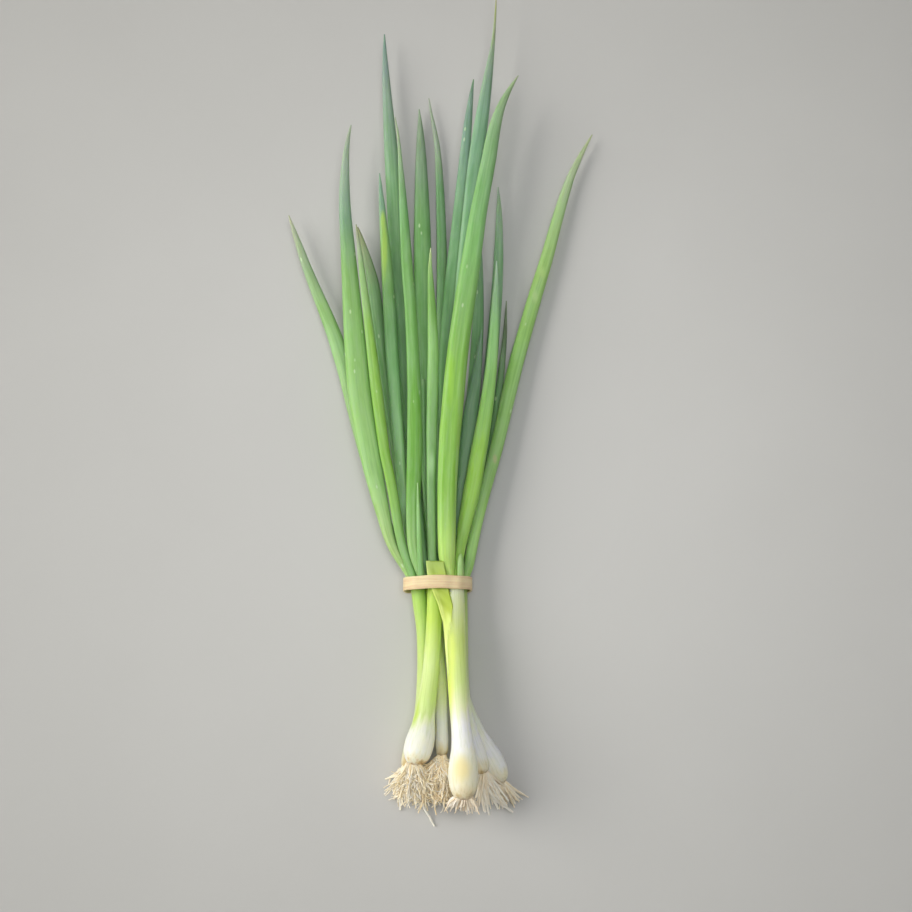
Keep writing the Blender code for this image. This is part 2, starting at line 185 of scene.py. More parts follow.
def finished(name, mesh, node_name):
    """Links a finished mesh as the piece that stands for one CAD node."""
    piece = bpy.data.objects.new(name, mesh)
    bpy.context.collection.objects.link(piece)
    mesh.shade_smooth()
    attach(piece, "root")
    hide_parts(node_name)


def band_section():
    """The strip's cross-section, (along the bunch, outwards), with rounded corners."""
    corners = []
    edge = BAND_WIDE / 2 - BAND_ROUND
    face = BAND_THICK / 2 - BAND_ROUND
    for sx, sy, start in ((1, -1, -90), (1, 1, 0), (-1, 1, 90), (-1, -1, 180)):
        for k in range(CORNER_STEPS + 1):
            a = math.radians(start + 90 * k / CORNER_STEPS)
            corners.append((sx * edge + BAND_ROUND * math.cos(a), sy * face + BAND_ROUND * math.sin(a)))
    return corners


def rippled(angle, ripples):
    return sum(height * math.sin(count * angle + turn) for count, height, turn in ripples)


def ring_faces(rings, sides, closed):
    """The faces of a skin over rings of points. The last ring meets the first if it is closed."""
    faces = []
    for i in range(rings if closed else rings - 1):
        n = (i + 1) % rings
        for j in range(sides):
            k = (j + 1) % sides
            faces.append((i * sides + j, n * sides + j, n * sides + k, i * sides + k))
    return faces


def band_mesh():
    angles = [2 * math.pi * i / BAND_STEPS for i in range(BAND_STEPS)]
    loop = []
    for a in angles:
        c, s = math.cos(a), math.sin(a)
        bulge = rippled(a, BAND_BULGES)
        x = math.copysign(abs(c) ** (2 / BAND_SQUARENESS), c) * (BAND_HALF_WIDTH + bulge)
        z = math.copysign(abs(s) ** (2 / BAND_SQUARENESS), s) * (BAND_HALF_HEIGHT + bulge)
        loop.append((x, max(z + BAND_MIDDLE, BAND_THICK / 2)))
    section = band_section()
    verts = []
    for i, (x, z) in enumerate(loop):
        x0, z0 = loop[i - 1]
        x1, z1 = loop[(i + 1) % BAND_STEPS]
        run = math.hypot(x1 - x0, z1 - z0)
        out = ((z1 - z0) / run, -(x1 - x0) / run)
        slip = rippled(angles[i], BAND_SLIPS)
        for along, off in section:
            verts.append(place(x + out[0] * off, along + slip, max(z + out[1] * off, 0.0)))
    mesh = bpy.data.meshes.new("rubber_band")
    mesh.from_pydata(verts, [], ring_faces(BAND_STEPS, len(section), True))
    return mesh


# Natural rubber: matt, with faint streaks 1 mm wide along the strip from the cutting and a thin dust.
rubber, tree, shader = new_material("natural_rubber_beige")
spot = node(tree, "TexCoord").outputs["Object"]
streak_at = node(tree, "Mapping", {"Vector": spot, "Scale": (1 / (18 * MM), 1 / (1.1 * MM), 1 / (18 * MM))})
streaks = node(tree, "TexNoise", {"Vector": streak_at, "Scale": 1.0, "Detail": 3.0})
dust = node(tree, "TexNoise", {"Vector": spot, "Scale": 1 / (0.8 * MM), "Detail": 4.0}).outputs["Color"]
streaked = node(tree, "ValToRGB", streaks, stops=[(0.34, "#dfbe94"), (0.62, "#ecd8aa")])
dusted = node(tree, "Mix", {"Factor": 0.25, 6: streaked, 7: dust}, data_type="RGBA", blend_type="SOFT_LIGHT")
bump = node(tree, "Bump", {"Height": streaks, "Strength": 0.25, "Distance": 0.15 * MM})
fill(tree, shader, {"Base Color": dusted, "Normal": bump, "Roughness": 0.62, "IOR": 1.52,
                    "Specular IOR Level": 0.35})

mesh = band_mesh()
mesh.materials.append(rubber)
finished("band_of_rubber", mesh, "rubber_band")

# ---------------------------------------------------------------------------------------------
# The bulbs with their shanks: six onions, each grown in one piece from the round basal plate,
# through the white bulb, up to where the green shank divides into leaves under the band.
# Smooth and waxy, with fine veins along the skin.

BULB_SIDES = 48
BULB_RINGS_APART = 1.0
BULB_RIB = 0.016  # height of the ridges along the skin, as a share of the radius
BULB_RIB_SIZE = 1.6
BULB_VEIN = 0.7
RIB_DRIFT = 18.0  # how fast the ridges change along the path
GROOVE_SHARE = 0.42  # the groove's width, as a share of the half width

# x, y, z and radius, from the basal plate up.
BULB_PATHS = {
    "left_low": [
        (-13.3, -83.4, 3.8, 1.7), (-12.6, -81.2, 4.1, 3.8), (-10.8, -75.5, 4.9, 4.85),
        (-8.4, -66, 5.1, 4.1), (-6.9, -56, 5.8, 3.4), (-6.3, -40, 7, 3), (-6.6, -22, 7.8, 3),
        (-8.2, -8, 8.4, 3.2), (-9.4, 1, 8.6, 3.3)],
    "left_top": [
        (-10.7, -80.8, 16.2, 1.8), (-10.2, -79, 16.3, 4.3), (-9.1, -76, 16.4, 6.05),
        (-7.9, -71.5, 16.4, 6.45), (-6.8, -67, 16.2, 5.9), (-5.7, -61, 15.9, 4.8), (-4.7, -54, 15.5, 4.15),
        (-3, -40, 14.8, 3.75), (-1.8, -22, 13.6, 3.55), (-1.4, -8, 12.5, 3.4), (-1.5, 1, 12.2, 3.3)],
    "middle": [
        (2.2, -76.7, 12, 1.4), (2.1, -75.2, 12.1, 2.5), (2, -70, 12.2, 2.9), (1.9, -60, 11.8, 2.6),
        (1.7, -45, 10.2, 2.5), (0.4, -32, 8.2, 2.5), (-1.5, -20, 6, 2.6), (-3.2, -5, 5, 2.7),
        (-3.4, 1, 5, 2.6)],
    "right_top": [
        (11.9, -95.7, 22.4, 2), (11.8, -94, 22.5, 4.4), (11.6, -90.5, 22.7, 6), (11.4, -85, 22.9, 6.65),
        (11.4, -79.5, 23.2, 6.1), (11.3, -73, 22.9, 5.1), (10.6, -65, 21.8, 4.4), (9.6, -55, 20.2, 4.25),
        (8.8, -41, 18.3, 4.45), (8, -24, 15.9, 4.6), (8.1, -9, 14.1, 4.1), (8.3, 1, 13.6, 3.4)],
    "right_mid": [
        (20.4, -84.2, 14.1, 1.8), (19.8, -82.2, 14.4, 3.5), (18.1, -77.6, 14.9, 4.2),
        (16.2, -72, 14.8, 4.1), (14, -65, 13.8, 3.7), (11.8, -55, 12.6, 3.4), (10.8, -40, 11, 3.2),
        (10.7, -22, 8.8, 3.1), (10.6, -8, 7.4, 3), (10.6, 1, 7.1, 2.9)],
    "right_low": [
        (28.8, -88.4, 5.2, 1.9), (27.9, -86.7, 5.4, 4.2), (26, -83, 5.7, 5.6), (23.8, -78.5, 5.8, 5.75),
        (20.6, -72.5, 5.3, 5.1), (16.9, -65.5, 4.8, 4.3), (12.2, -54, 4.3, 3.7), (8.2, -40, 4, 3.5),
        (5, -22, 4.1, 3.5), (3.6, -8, 4.7, 3.5), (3.6, 1, 4.9, 3.4)],
}
# Distance up the bunch and colour.
BULB_COLOURS = {
    "left_low": [
        (-84, "#b89a68"), (-80, "#d6c294"), (-76, "#e2dcbc"), (-70, "#dde4ba"), (-60, "#cfe0a0"),
        (-31, "#bcd47e"), (-8, "#aed070"), (0, "#a4c868")],
    "left_top": [
        (-82, "#b48c58"), (-80.5, "#e6cb9c"), (-79, "#fbefcf"), (-75, "#fbf9ea"), (-66, "#eceee2"),
        (-61, "#e6ecca"), (-57, "#d2e3a0"), (-50, "#cfe396"), (-36, "#d6eaa2"), (-17, "#c1dc68"),
        (0, "#b4d364")],
    "middle": [
        (-77, "#d2b684"), (-74, "#ead8b0"), (-69, "#fdf6e2"), (-60, "#fdfae2"), (-52, "#eef8bc"),
        (-30, "#dcf494"), (0, "#b8e070")],
    "right_top": [
        (-96, "#d8bf95"), (-94, "#f2e2c0"), (-89, "#fbf0d8"), (-80, "#fcf6e2"), (-72, "#fdfdf2"),
        (-62, "#fcfef0"), (-55, "#eff9c8"), (-45, "#daeea0"), (-27, "#d6ea8e"), (-9, "#dfeab2"),
        (0, "#dfe6bc")],
    "right_mid": [
        (-85, "#c4a878"), (-82, "#eedfba"), (-77, "#f8f6e8"), (-68, "#f8f9ee"), (-58, "#eaf1cf"),
        (-44, "#d5e6a8"), (-20, "#bed688"), (0, "#a6c271")],
    "right_low": [
        (-89, "#dcc494"), (-86, "#fbefd0"), (-81, "#fcf9ec"), (-70, "#fbfbf2"), (-58, "#ebf2d2"),
        (-40, "#cfe29b"), (-20, "#b5cf80"), (0, "#9fbd6a")],
}
# Where the skin is tinted: middle, half sizes, softness and colour.
BULB_PATCHES = {
    "left_top": [
        ((-10.5, -55.5, 17.5), (2.4, 8.5, 5), 0.5, "#bed962")],
    "right_top": [
        ((10.6, -82.6, 29.6), (3.8, 5.2, 4), 0.6, "#f6e6b4"), ((4.9, -36, 20), (3, 26, 6), 0.5, "#dcf07c")],
}


def new_tree(name, inputs, output):
    """A geometry tree with these (label, kind) inputs and one geometry output."""
    tree = bpy.data.node_groups.new(name, "GeometryNodeTree")
    for label, kind in inputs:
        tree.interface.new_socket(label, in_out="INPUT", socket_type="NodeSocket" + kind)
    tree.interface.new_socket(output, in_out="OUTPUT", socket_type="NodeSocketGeometry")
    return tree


def grown_tube_tree():
    """A tube along a path. The path's points hold half_width and half_thick. The tube's points hold
    ring (across, up, share of the length) and grain (the same place in metres), for its skin."""
    tree = new_tree("grown_tube", [
        ("Path", "Geometry"), ("Rings apart", "Float"), ("Sides", "Int"), ("Rib height", "Float"),
        ("Rib size", "Float"), ("Groove depth", "Float"), ("Groove place", "Float"), ("Seed", "Float"),
        ("Skin", "Material")], "Tube")
    given = node(tree, "NodeGroupInput").outputs
    here = node(tree, "GeometryNodeInputPosition")
    tangent = node(tree, "GeometryNodeInputTangent")
    along = node(tree, "GeometryNodeSplineParameter").outputs
    saved = {label: node(tree, "GeometryNodeInputNamedAttribute", {"Name": label}, data_type=kind)
             for label, kind in (("middle", "FLOAT_VECTOR"), ("ahead", "FLOAT_VECTOR"),
                                 ("ring", "FLOAT_VECTOR"), ("share", "FLOAT"), ("run", "FLOAT"),
                                 ("half_width", "FLOAT"), ("half_thick", "FLOAT"))}

    # The path, smoothed and cut into rings.
    line = node(tree, "GeometryNodeMeshToCurve", {"Mesh": given["Path"]})
    line = node(tree, "GeometryNodeCurveSplineType", {"Curve": line}, spline_type="CATMULL_ROM")
    line = node(tree, "GeometryNodeResampleCurve", {"Curve": line, "Length": given["Rings apart"]},
                mode="LENGTH")
    for label, kind, value in (("middle", "FLOAT_VECTOR", here), ("ahead", "FLOAT_VECTOR", tangent),
                               ("share", "FLOAT", along["Factor"]), ("run", "FLOAT", along["Length"])):
        line = node(tree, "GeometryNodeStoreNamedAttribute",
                    {"Geometry": line, "Name": label, "Value": value}, data_type=kind, domain="POINT")
    circle = node(tree, "GeometryNodeCurvePrimitiveCircle", {"Resolution": given["Sides"], "Radius": 1.0},
                  mode="RADIUS")
    tube = node(tree, "GeometryNodeCurveToMesh",
                {"Curve": line, "Profile Curve": circle, "Scale": 1.0, "Fill Caps": True})

    # Each point's place on its ring: how far across and how far up, from -1 to 1.
    across = node(tree, "VectorMath", saved["ahead"], (0, 0, 1), operation="CROSS_PRODUCT")
    across = node(tree, "VectorMath", across, operation="NORMALIZE")
    up = node(tree, "VectorMath", across, saved["ahead"], operation="CROSS_PRODUCT")
    off = node(tree, "VectorMath", here, saved["middle"], operation="SUBTRACT")
    ring = node(tree, "CombineXYZ", node(tree, "VectorMath", off, across, operation="DOT_PRODUCT"),
                node(tree, "VectorMath", off, up, operation="DOT_PRODUCT"), saved["share"])
    tube = node(tree, "GeometryNodeStoreNamedAttribute", {"Geometry": tube, "Name": "ring", "Value": ring},
                data_type="FLOAT_VECTOR", domain="POINT")

    # The real section: an oval with ridges along the skin and a shallow groove on its upper side.
    side, rise, share = node(tree, "SeparateXYZ", saved["ring"]).outputs
    side_run = node(tree, "Math", side, saved["half_width"], operation="MULTIPLY")
    rise_run = node(tree, "Math", rise, saved["half_thick"], operation="MULTIPLY")
    ridge_at = node(tree, "CombineXYZ", node(tree, "Math", side_run, given["Rib size"], operation="DIVIDE"),
                    node(tree, "Math", rise_run, given["Rib size"], operation="DIVIDE"),
                    node(tree, "Math", saved["run"], RIB_DRIFT, given["Seed"], operation="MULTIPLY_ADD"))
    ridges = node(tree, "TexNoise", {"Vector": ridge_at, "Scale": 1.0, "Detail": 1.0})
    swell = node(tree, "Math", node(tree, "Math", ridges, 0.5, operation="SUBTRACT"),
                 node(tree, "Math", given["Rib height"], 2.0, operation="MULTIPLY"), 1.0,
                 operation="MULTIPLY_ADD")
    apart = node(tree, "Math", side, given["Groove place"], operation="SUBTRACT")
    apart = node(tree, "Math", apart, GROOVE_SHARE, operation="DIVIDE")
    groove = node(tree, "Math", apart, apart, operation="MULTIPLY")
    groove = node(tree, "Math", math.e, node(tree, "Math", groove, -1.0, operation="MULTIPLY"),
                  operation="POWER")
    upper = node(tree, "Math", node(tree, "Math", rise, 0.0, operation="MAXIMUM"), groove,
                 operation="MULTIPLY")
    open_part = node(tree, "Math", node(tree, "Math", share, math.pi, operation="MULTIPLY"),
                     operation="SINE")
    dip = node(tree, "Math", upper, given["Groove depth"], operation="MULTIPLY")
    dip = node(tree, "Math", dip, open_part, operation="MULTIPLY")
    dipped = node(tree, "Math", rise, dip, operation="SUBTRACT")
    dipped = node(tree, "Math", dipped, saved["half_thick"], operation="MULTIPLY")
    spot = saved["middle"]
    for way, far in ((across, side_run), (up, dipped)):
        far = node(tree, "Math", far, swell, operation="MULTIPLY")
        step = node(tree, "VectorMath", {0: way, "Scale": far}, operation="SCALE")
        spot = node(tree, "VectorMath", spot, step, operation="ADD")
    tube = node(tree, "GeometryNodeSetPosition", {"Geometry": tube, "Position": spot})
    grain = node(tree, "CombineXYZ", side_run, rise_run, saved["run"])
    tube = node(tree, "GeometryNodeStoreNamedAttribute", {"Geometry": tube, "Name": "grain", "Value": grain},
                data_type="FLOAT_VECTOR", domain="POINT")
    tube = node(tree, "GeometryNodeRealizeInstances", {"Geometry": tube})
    tube = node(tree, "GeometryNodeSetMaterial", {"Geometry": tube, "Material": given["Skin"]})
    node(tree, "NodeGroupOutput", {"Tube": tube})
    return tree


GROWN_TUBE = grown_tube_tree()


def run_tree(name, tree, host_mesh, values):
    """Runs a geometry tree on a mesh, its inputs set by label, and returns the plain mesh it makes."""
    host = bpy.data.objects.new(name + "_path", host_mesh)
    bpy.context.collection.objects.link(host)
    modifier = host.modifiers.new("grow", "NODES")
    modifier.node_group = tree
    sockets = {item.name: item.identifier for item in tree.interface.items_tree if item.in_out == "INPUT"}
    for label, value in values.items():
        modifier[sockets[label]] = value
    graph = bpy.context.evaluated_depsgraph_get()
    mesh = bpy.data.meshes.new_from_object(host.evaluated_get(graph))
    mesh.name = name
    host.modifiers.remove(modifier)
    bpy.data.objects.remove(host, do_unlink=True)
    return mesh


def lines_mesh(name, lines, columns):
    """Lines of points in millimetres as one host mesh for a tree. columns are (label, column, unit) of
    what else each point holds."""
    mesh = bpy.data.meshes.new(name + "_lines")
    points = [point for line in lines for point in line]
    edges = []
    first = 0
    for line in lines:
        edges += [(first + i, first + i + 1) for i in range(len(line) - 1)]
        first += len(line)
    mesh.from_pydata([place(*p[:3]) for p in points], edges, [])
    for label, column, unit in columns:
        values = mesh.attributes.new(label, "FLOAT", "POINT")
        values.data.foreach_set("value", [p[column] * unit for p in points])
    return mesh


def grown_tube(name, points, sides, rings_apart, rib, rib_size, groove, seed, skin):
    """A tube along points of x, y, z, half width and half thickness, all in millimetres."""
    line = lines_mesh(name, [points], (("half_width", 3, MM), ("half_thick", 4, MM)))
    return run_tree(name, GROWN_TUBE, line, {
        "Rings apart": rings_apart * MM, "Sides": sides, "Rib height": rib, "Rib size": rib_size * MM,
        "Groove depth": groove[0], "Groove place": groove[1], "Seed": seed, "Skin": skin})


def patch_mask(tree, centre, radii, softness):
    """1 inside an oval patch round a place of the bunch, falling to 0 outside it."""
    spot = node(tree, "TexCoord").outputs["Object"]
    off = node(tree, "VectorMath", spot, place(*centre), operation="SUBTRACT")
    scaled = node(tree, "VectorMath", off, [r * MM for r in radii], operation="DIVIDE")
    far = node(tree, "VectorMath", scaled, operation="LENGTH")
    return node(tree, "MapRange", far, 1.0 - softness, 1.0 + softness, 1.0, 0.0,
                interpolation_type="SMOOTHSTEP")


def skin_noise(tree, across, along, detail, seed=0.0):
    """Noise with features of this size across and along the skin, in millimetres."""
    grain = node(tree, "Attribute", attribute_name="grain").outputs["Vector"]
    at = node(tree, "VectorMath", grain, (1 / (across * MM), 1 / (across * MM), 1 / (along * MM)),
              (seed, 2.3 * seed, 1.7 * seed), operation="MULTIPLY_ADD")
    return node(tree, "TexNoise", {"Vector": at, "Scale": 1.0, "Detail": detail})


def colour_along(tree, wander, shift, stops):
    """The colour at each distance up the bunch, from (millimetres, colour) stops. A noise moves the
    borders between colours to and fro, by up to shift millimetres."""
    height = node(tree, "SeparateXYZ", node(tree, "TexCoord").outputs["Object"]).outputs[1]
    shifted = node(tree, "Math", wander, shift * MM, height, operation="MULTIPLY_ADD")
    low, high = stops[0][0], stops[-1][0]
    factor = node(tree, "MapRange", shifted, ORIGIN.y + (low + shift / 2) * MM,
                  ORIGIN.y + (high + shift / 2) * MM)
    return node(tree, "ValToRGB", factor, stops=[((at - low) / (high - low), code) for at, code in stops])


def bulb_skin(name, stops, patches=()):
    """Living onion skin: wet-looking wax over white flesh that lets some light in. The colour runs
    from the tan basal plate through white to green, by the distance up the bunch, in millimetres."""
    material, tree, shader = new_material(name)
    wander = skin_noise(tree, 2.6, 26, 2.0)
    colour = colour_along(tree, wander, 14, stops)
    # Veins 0.7 mm apart, drawn as long streaks.
    veins = skin_noise(tree, BULB_VEIN, 45, 2.0)
    vein_share = node(tree, "MapRange", veins, 0.52, 0.72, 0.0, 0.30)
    colour = node(tree, "Mix", {"Factor": vein_share, 6: colour, 7: "#c6cf9e"}, data_type="RGBA",
                  blend_type="MULTIPLY")
    for centre, radii, softness, code in patches:
        mask = patch_mask(tree, centre, radii, softness)
        colour = node(tree, "Mix", {"Factor": mask, 6: colour, 7: code}, data_type="RGBA")
    bump = node(tree, "Bump", {"Height": veins, "Strength": 0.22, "Distance": 0.12 * MM})
    gloss = node(tree, "MapRange", veins, 0.3, 0.7, 0.30, 0.42)
    fill(tree, shader, {
        "Base Color": colour, "Normal": bump, "Roughness": gloss, "IOR": 1.43, "Specular IOR Level": 0.2,
        "Subsurface Weight": 1.0, "Subsurface Radius": (1.0, 0.95, 0.6), "Subsurface Scale": 9 * MM})
    return material


for seed, (onion, points) in enumerate(BULB_PATHS.items()):
    node_name = onion + "_bulb"
    skin = bulb_skin("waxy_skin_" + onion, BULB_COLOURS[onion], BULB_PATCHES.get(onion, ()))
    mesh = grown_tube(node_name, [(*p, p[3]) for p in points], BULB_SIDES, BULB_RINGS_APART, BULB_RIB,
                      BULB_RIB_SIZE, (0.0, 0.0), 3.1 * seed, skin)
    finished(onion + "_onion", mesh, node_name)

# ---------------------------------------------------------------------------------------------
# The leaves: long hollow tubes, almost round where the band holds them, flatter in the open, and
# drawn out to a thin point. Soft green under a bluish wax that is rubbed off in places, with fine
# veins from end to end, small pale specks, and here and there a dry brown tip.

LEAF_SIDES = 30
LEAF_RINGS_APART = 2.2
LEAF_RIB = 0.022  # height of the ridges along the skin, as a share of the half width
LEAF_RIB_SIZE = 1.3
LEAF_ROUND = 0.86  # thickness as a share of the width, at the band
LEAF_FLAT = 0.60  # and in the open
LEAF_FLAT_FROM = 45.0
LEAF_VEIN = 0.8
LEAF_SPECK_CELL = (4.0, 4.0, 9.0)  # mm, with at most one speck in each
RUBBED_END = 22  # mm over which the wax comes back
RUBBED_FROM = 12  # mm above the band, below which no wax is rubbed off
RUBBED_FULL = 48
SMOOTH = {"interpolation_type": "SMOOTHSTEP"}


def leaf_points(points):
    """The path's points with half width and half thickness, from x, y, z and width."""
    made = []
    for x, y, z, width in points:
        openness = min(max(y / LEAF_FLAT_FROM, 0.0), 1.0)
        share = LEAF_ROUND + (LEAF_FLAT - LEAF_ROUND) * openness
        made.append((x, y, z, width / 2, width * share / 2))
    return made


def bare_mask(tree, across, start, place_across, width):
    """1 where the wax is rubbed off: from start down to the band, round a place across the leaf."""
    height = node(tree, "SeparateXYZ", node(tree, "TexCoord").outputs["Object"]).outputs[1]
    off = node(tree, "Math", across, place_across, operation="SUBTRACT")
    off = node(tree, "Math", off, width, operation="DIVIDE")
    down = node(tree, "Math", ORIGIN.y + start * MM, height, operation="SUBTRACT")
    down = node(tree, "Math", down, RUBBED_END * MM, operation="DIVIDE")
    within = node(tree, "Math", down, node(tree, "Math", off, off, operation="MULTIPLY"),
                  operation="SUBTRACT")
    amount = node(tree, "MapRange", within, -0.25, 0.35, 0.0, 0.85, **SMOOTH)
    above = node(tree, "MapRange", height, ORIGIN.y + RUBBED_FROM * MM, ORIGIN.y + RUBBED_FULL * MM, **SMOOTH)
    return node(tree, "Math", amount, above, operation="MULTIPLY")


def leaf_skin(name, stops, seed, bare=None, marks=(), rim=None):
    """Waxed green leaf. stops are (distance up the bunch in millimetres, colour). bare is where the wax is
    rubbed off: (from where down, place across, share of the width, colour). The last argument is a painted
    highlight on the left edge, which faces the window, partly the thin fold's own paler colour: its colour
    and how much of it shows."""
    material, tree, shader = new_material(name)
    grain = node(tree, "Attribute", attribute_name="grain").outputs["Vector"]
    ring = node(tree, "Attribute", attribute_name="ring").outputs["Vector"]
    across = node(tree, "SeparateXYZ", ring).outputs[0]
    colour = colour_along(tree, skin_noise(tree, 3.5, 26, 2.0, seed), 16, stops)

    # What lies on the base colour, as (how much, colour): first worn wax and the painted highlight on the
    # left edge.
    layers = []
    if bare:
        layers.append((bare_mask(tree, across, *bare[:3]), bare[3]))
    # Painted highlight: the left edge is lightened where it faces the window.
    if rim:
        layers.append((node(tree, "MapRange", across, -0.62, -0.86, 0.0, rim[1], **SMOOTH), rim[0]))

    # Clouds of thicker wax 2 mm across, then veins 0.8 mm apart.
    clouds = skin_noise(tree, 2.2, 14, 3.0, seed)
    veins = skin_noise(tree, LEAF_VEIN, 60, 2.0, seed)
    for noise, start, end, most, code in (
            (clouds, 0.38, 0.72, 0.22, "#a9c9a4"), (clouds, 0.52, 0.26, 0.20, "#5f9440"),
            (veins, 0.48, 0.74, 0.24, "#4f8a36"), (veins, 0.46, 0.26, 0.20, "#b6d68e")):
        layers.append((node(tree, "MapRange", noise, start, end, 0.0, most, **SMOOTH), code))

    # Pale specks up to 1 mm long, about one to a square centimetre.
    speck_at = node(tree, "VectorMath", grain, [1 / (size * MM) for size in LEAF_SPECK_CELL],
                    (seed, seed, seed), operation="MULTIPLY_ADD")
    cells = node(tree, "TexVoronoi", {"Vector": speck_at, "Scale": 1.0}).outputs
    few = node(tree, "SeparateColor", cells["Color"]).outputs[0]
    specks = node(tree, "Math", node(tree, "MapRange", cells["Distance"], 0.16, 0.06, **SMOOTH),
                  node(tree, "MapRange", few, 0.60, 0.66, 0.0, 0.62, **SMOOTH), operation="MULTIPLY")
    layers.append((specks, "#d3e6bd"))
    for centre, radii, softness, code in marks:
        layers.append((patch_mask(tree, centre, radii, softness), code))
    for share, code in layers:
        colour = node(tree, "Mix", {"Factor": share, 6: colour, 7: code}, data_type="RGBA")

    relief = node(tree, "Math", node(tree, "Math", veins, 0.8, operation="MULTIPLY"),
                  node(tree, "Math", specks, 0.5, operation="MULTIPLY"), operation="ADD")
    bump = node(tree, "Bump", {"Height": relief, "Strength": 0.30, "Distance": 0.10 * MM})
    dull = node(tree, "MapRange", clouds, 0.3, 0.7, 0.36, 0.50, **SMOOTH)
    fill(tree, shader, {
        "Base Color": colour, "Normal": bump, "Roughness": dull, "IOR": 1.42, "Specular IOR Level": 0.35,
        "Subsurface Weight": 0.35, "Subsurface Radius": (0.55, 1.0, 0.25), "Subsurface Scale": 2.5 * MM})
    return material


def add_leaf(name, node_name, points, stops, seed, groove=(0.0, 0.0), slot="leaf", **looks):
    """One leaf: its path, its colours, and the depth and place of the groove on its upper side."""
    skin = leaf_skin("waxy_leaf_" + name.replace("_leaf", ""), stops, seed, **looks)
    mesh = grown_tube(name, leaf_points(points), LEAF_SIDES, LEAF_RINGS_APART, LEAF_RIB, LEAF_RIB_SIZE,
                      groove, seed, skin)
    finished(name, mesh, node_name)


# The lower left onion's leaves, which fan out furthest to the left: x, y, z and width along each.
add_leaf("long_left_leaf", "left_low_leaf_a", [
    (-11.6, -1, 9.5, 3.4), (-12.7, 4, 9.5, 3.6), (-16.1, 9.8, 9.9, 4), (-19.6, 15.5, 10.7, 4.3),
    (-22.3, 22, 11.6, 5), (-24.6, 31, 12.4, 6.3), (-27.3, 42, 13, 7.6), (-30.2, 55, 13.5, 9),
    (-32.8, 68, 13.8, 10), (-35, 80, 14.1, 10.5), (-36.7, 92, 14.2, 10.6), (-38.1, 107, 14.3, 10.2),
    (-39.5, 123, 14.4, 9.3), (-41, 141, 14.5, 8), (-42.6, 160, 14.6, 6.6), (-43.9, 176, 14.7, 5.6),
    (-44.3, 190, 14.8, 4.7), (-43.8, 204, 14.8, 3), (-42.9, 212, 14.7, 1.8), (-41.6, 219, 14.6, 0.5)], [
    (0, "#a8cc80"), (16, "#b4d086"), (47, "#9ecb7a"), (84, "#98c570"), (116, "#90c06c"), (148, "#88b468"),
    (172, "#86a98a"), (199, "#a6b6a4"), (219, "#a4ae9a")],
    seed=1.0, groove=(0.16, 0.25), marks=[
        ((-28, 40, 15.6), (2.2, 2.6, 4), 0.6, "#a6cd84")])

add_leaf("lime_left_leaf", "left_low_leaf_b", [
    (-10.4, -1, 12.4, 3.3), (-11.2, 3.6, 12.6, 3.4), (-13.2, 9, 13, 3.8), (-15.3, 15, 13.4, 4.1),
    (-16.9, 21, 13.8, 4.3), (-18.6, 30, 14.4, 4.5), (-20.2, 40, 15, 4.6), (-22.1, 50, 15.6, 4.7),
    (-24.2, 60, 16, 4.9), (-26.4, 75, 16.4, 5.2), (-28.5, 91, 16.6, 5.3), (-30.4, 106, 16.6, 4.8),
    (-32.4, 122, 16.6, 4), (-34.5, 138, 16.5, 3.3), (-36.4, 153, 16.4, 2.4), (-37.6, 162, 16.3, 1.5),
    (-38.6, 169, 16.2, 0.5)], [
    (0, "#86b36a"), (30, "#8ab56a"), (59, "#8db868"), (91, "#8fba58"), (120, "#94c066"), (145, "#95b97a"),
    (160, "#a6b094"), (169, "#a09c86")],
    seed=2.0, groove=(0.1, -0.2), bare=(124, 0.2, 0.9, "#8cbc48"))

add_leaf("outer_left_leaf", "left_low_leaf_c", [
    (-10.2, -1, 6, 3.4), (-11.2, 3.6, 6, 3.4), (-14.2, 9.4, 6, 3.7), (-17.6, 15.2, 6, 4.1),
    (-20.8, 21.6, 6, 4.5), (-25.6, 35, 6, 5), (-30, 50, 6, 5.6), (-33.4, 61, 6, 6.2), (-36.2, 72, 6, 6.8),
    (-39.4, 85, 6, 7.2), (-42.6, 98, 6, 7.4), (-45.7, 108.5, 6, 7.3), (-49, 118.5, 6.1, 6.8),
    (-54, 131, 6.3, 5.8), (-58, 140.5, 6.5, 5.1), (-62.2, 151, 6.8, 4.3), (-65.4, 160, 7, 3.4),
    (-68.6, 169, 7.1, 2), (-71.2, 176.5, 7.2, 0.5)], [
    (0, "#8cae6c"), (30, "#98bb78"), (80, "#9bbf7c"), (112, "#9cc583"), (130, "#98c077"), (150, "#9fb78f"),
    (165, "#b0b99c"), (177, "#b9b8a0")],
    seed=3.0, groove=(0.1, 0.2))

add_leaf("spotted_left_leaf", "left_low_leaf_d", [
    (-8.1, -1, 8.9, 3.1), (-8.6, 4, 9, 3.2), (-10.4, 12, 9.7, 3.7), (-12.6, 22, 10.2, 4.1),
    (-14.6, 33, 10.6, 4.4), (-16.8, 51, 11.1, 4.9), (-18.6, 71, 11.4, 5.4), (-20.2, 90, 11.6, 5.9),
    (-21.6, 110, 11.6, 6.1), (-22.5, 125, 11.6, 6), (-23.5, 140, 11.6, 5.6), (-24.6, 155, 11.6, 4.8),
    (-25.9, 170, 11.6, 3.7), (-26.7, 180, 11.5, 2.8), (-27.4, 188.5, 11.5, 1.7), (-28, 196, 11.4, 0.5)], [
    (0, "#8ab474"), (30, "#88b272"), (55, "#8ebe7c"), (70, "#90c280"), (98, "#7eb272"), (118, "#72a266"),
    (140, "#74a15e"), (166, "#8fb870"), (176, "#85a888"), (196, "#7d988c")],
    seed=4.0, groove=(0.14, -0.1), marks=[
        ((-26.2, 172, 13.2), (1, 4.5, 3), 0.5, "#a4c468"),
        ((-25.4, 158, 13.2), (1.3, 13, 3), 0.6, "#a0c35e"), ((-15.2, 38, 12.4), (2, 5, 3), 0.8, "#9fca92")])

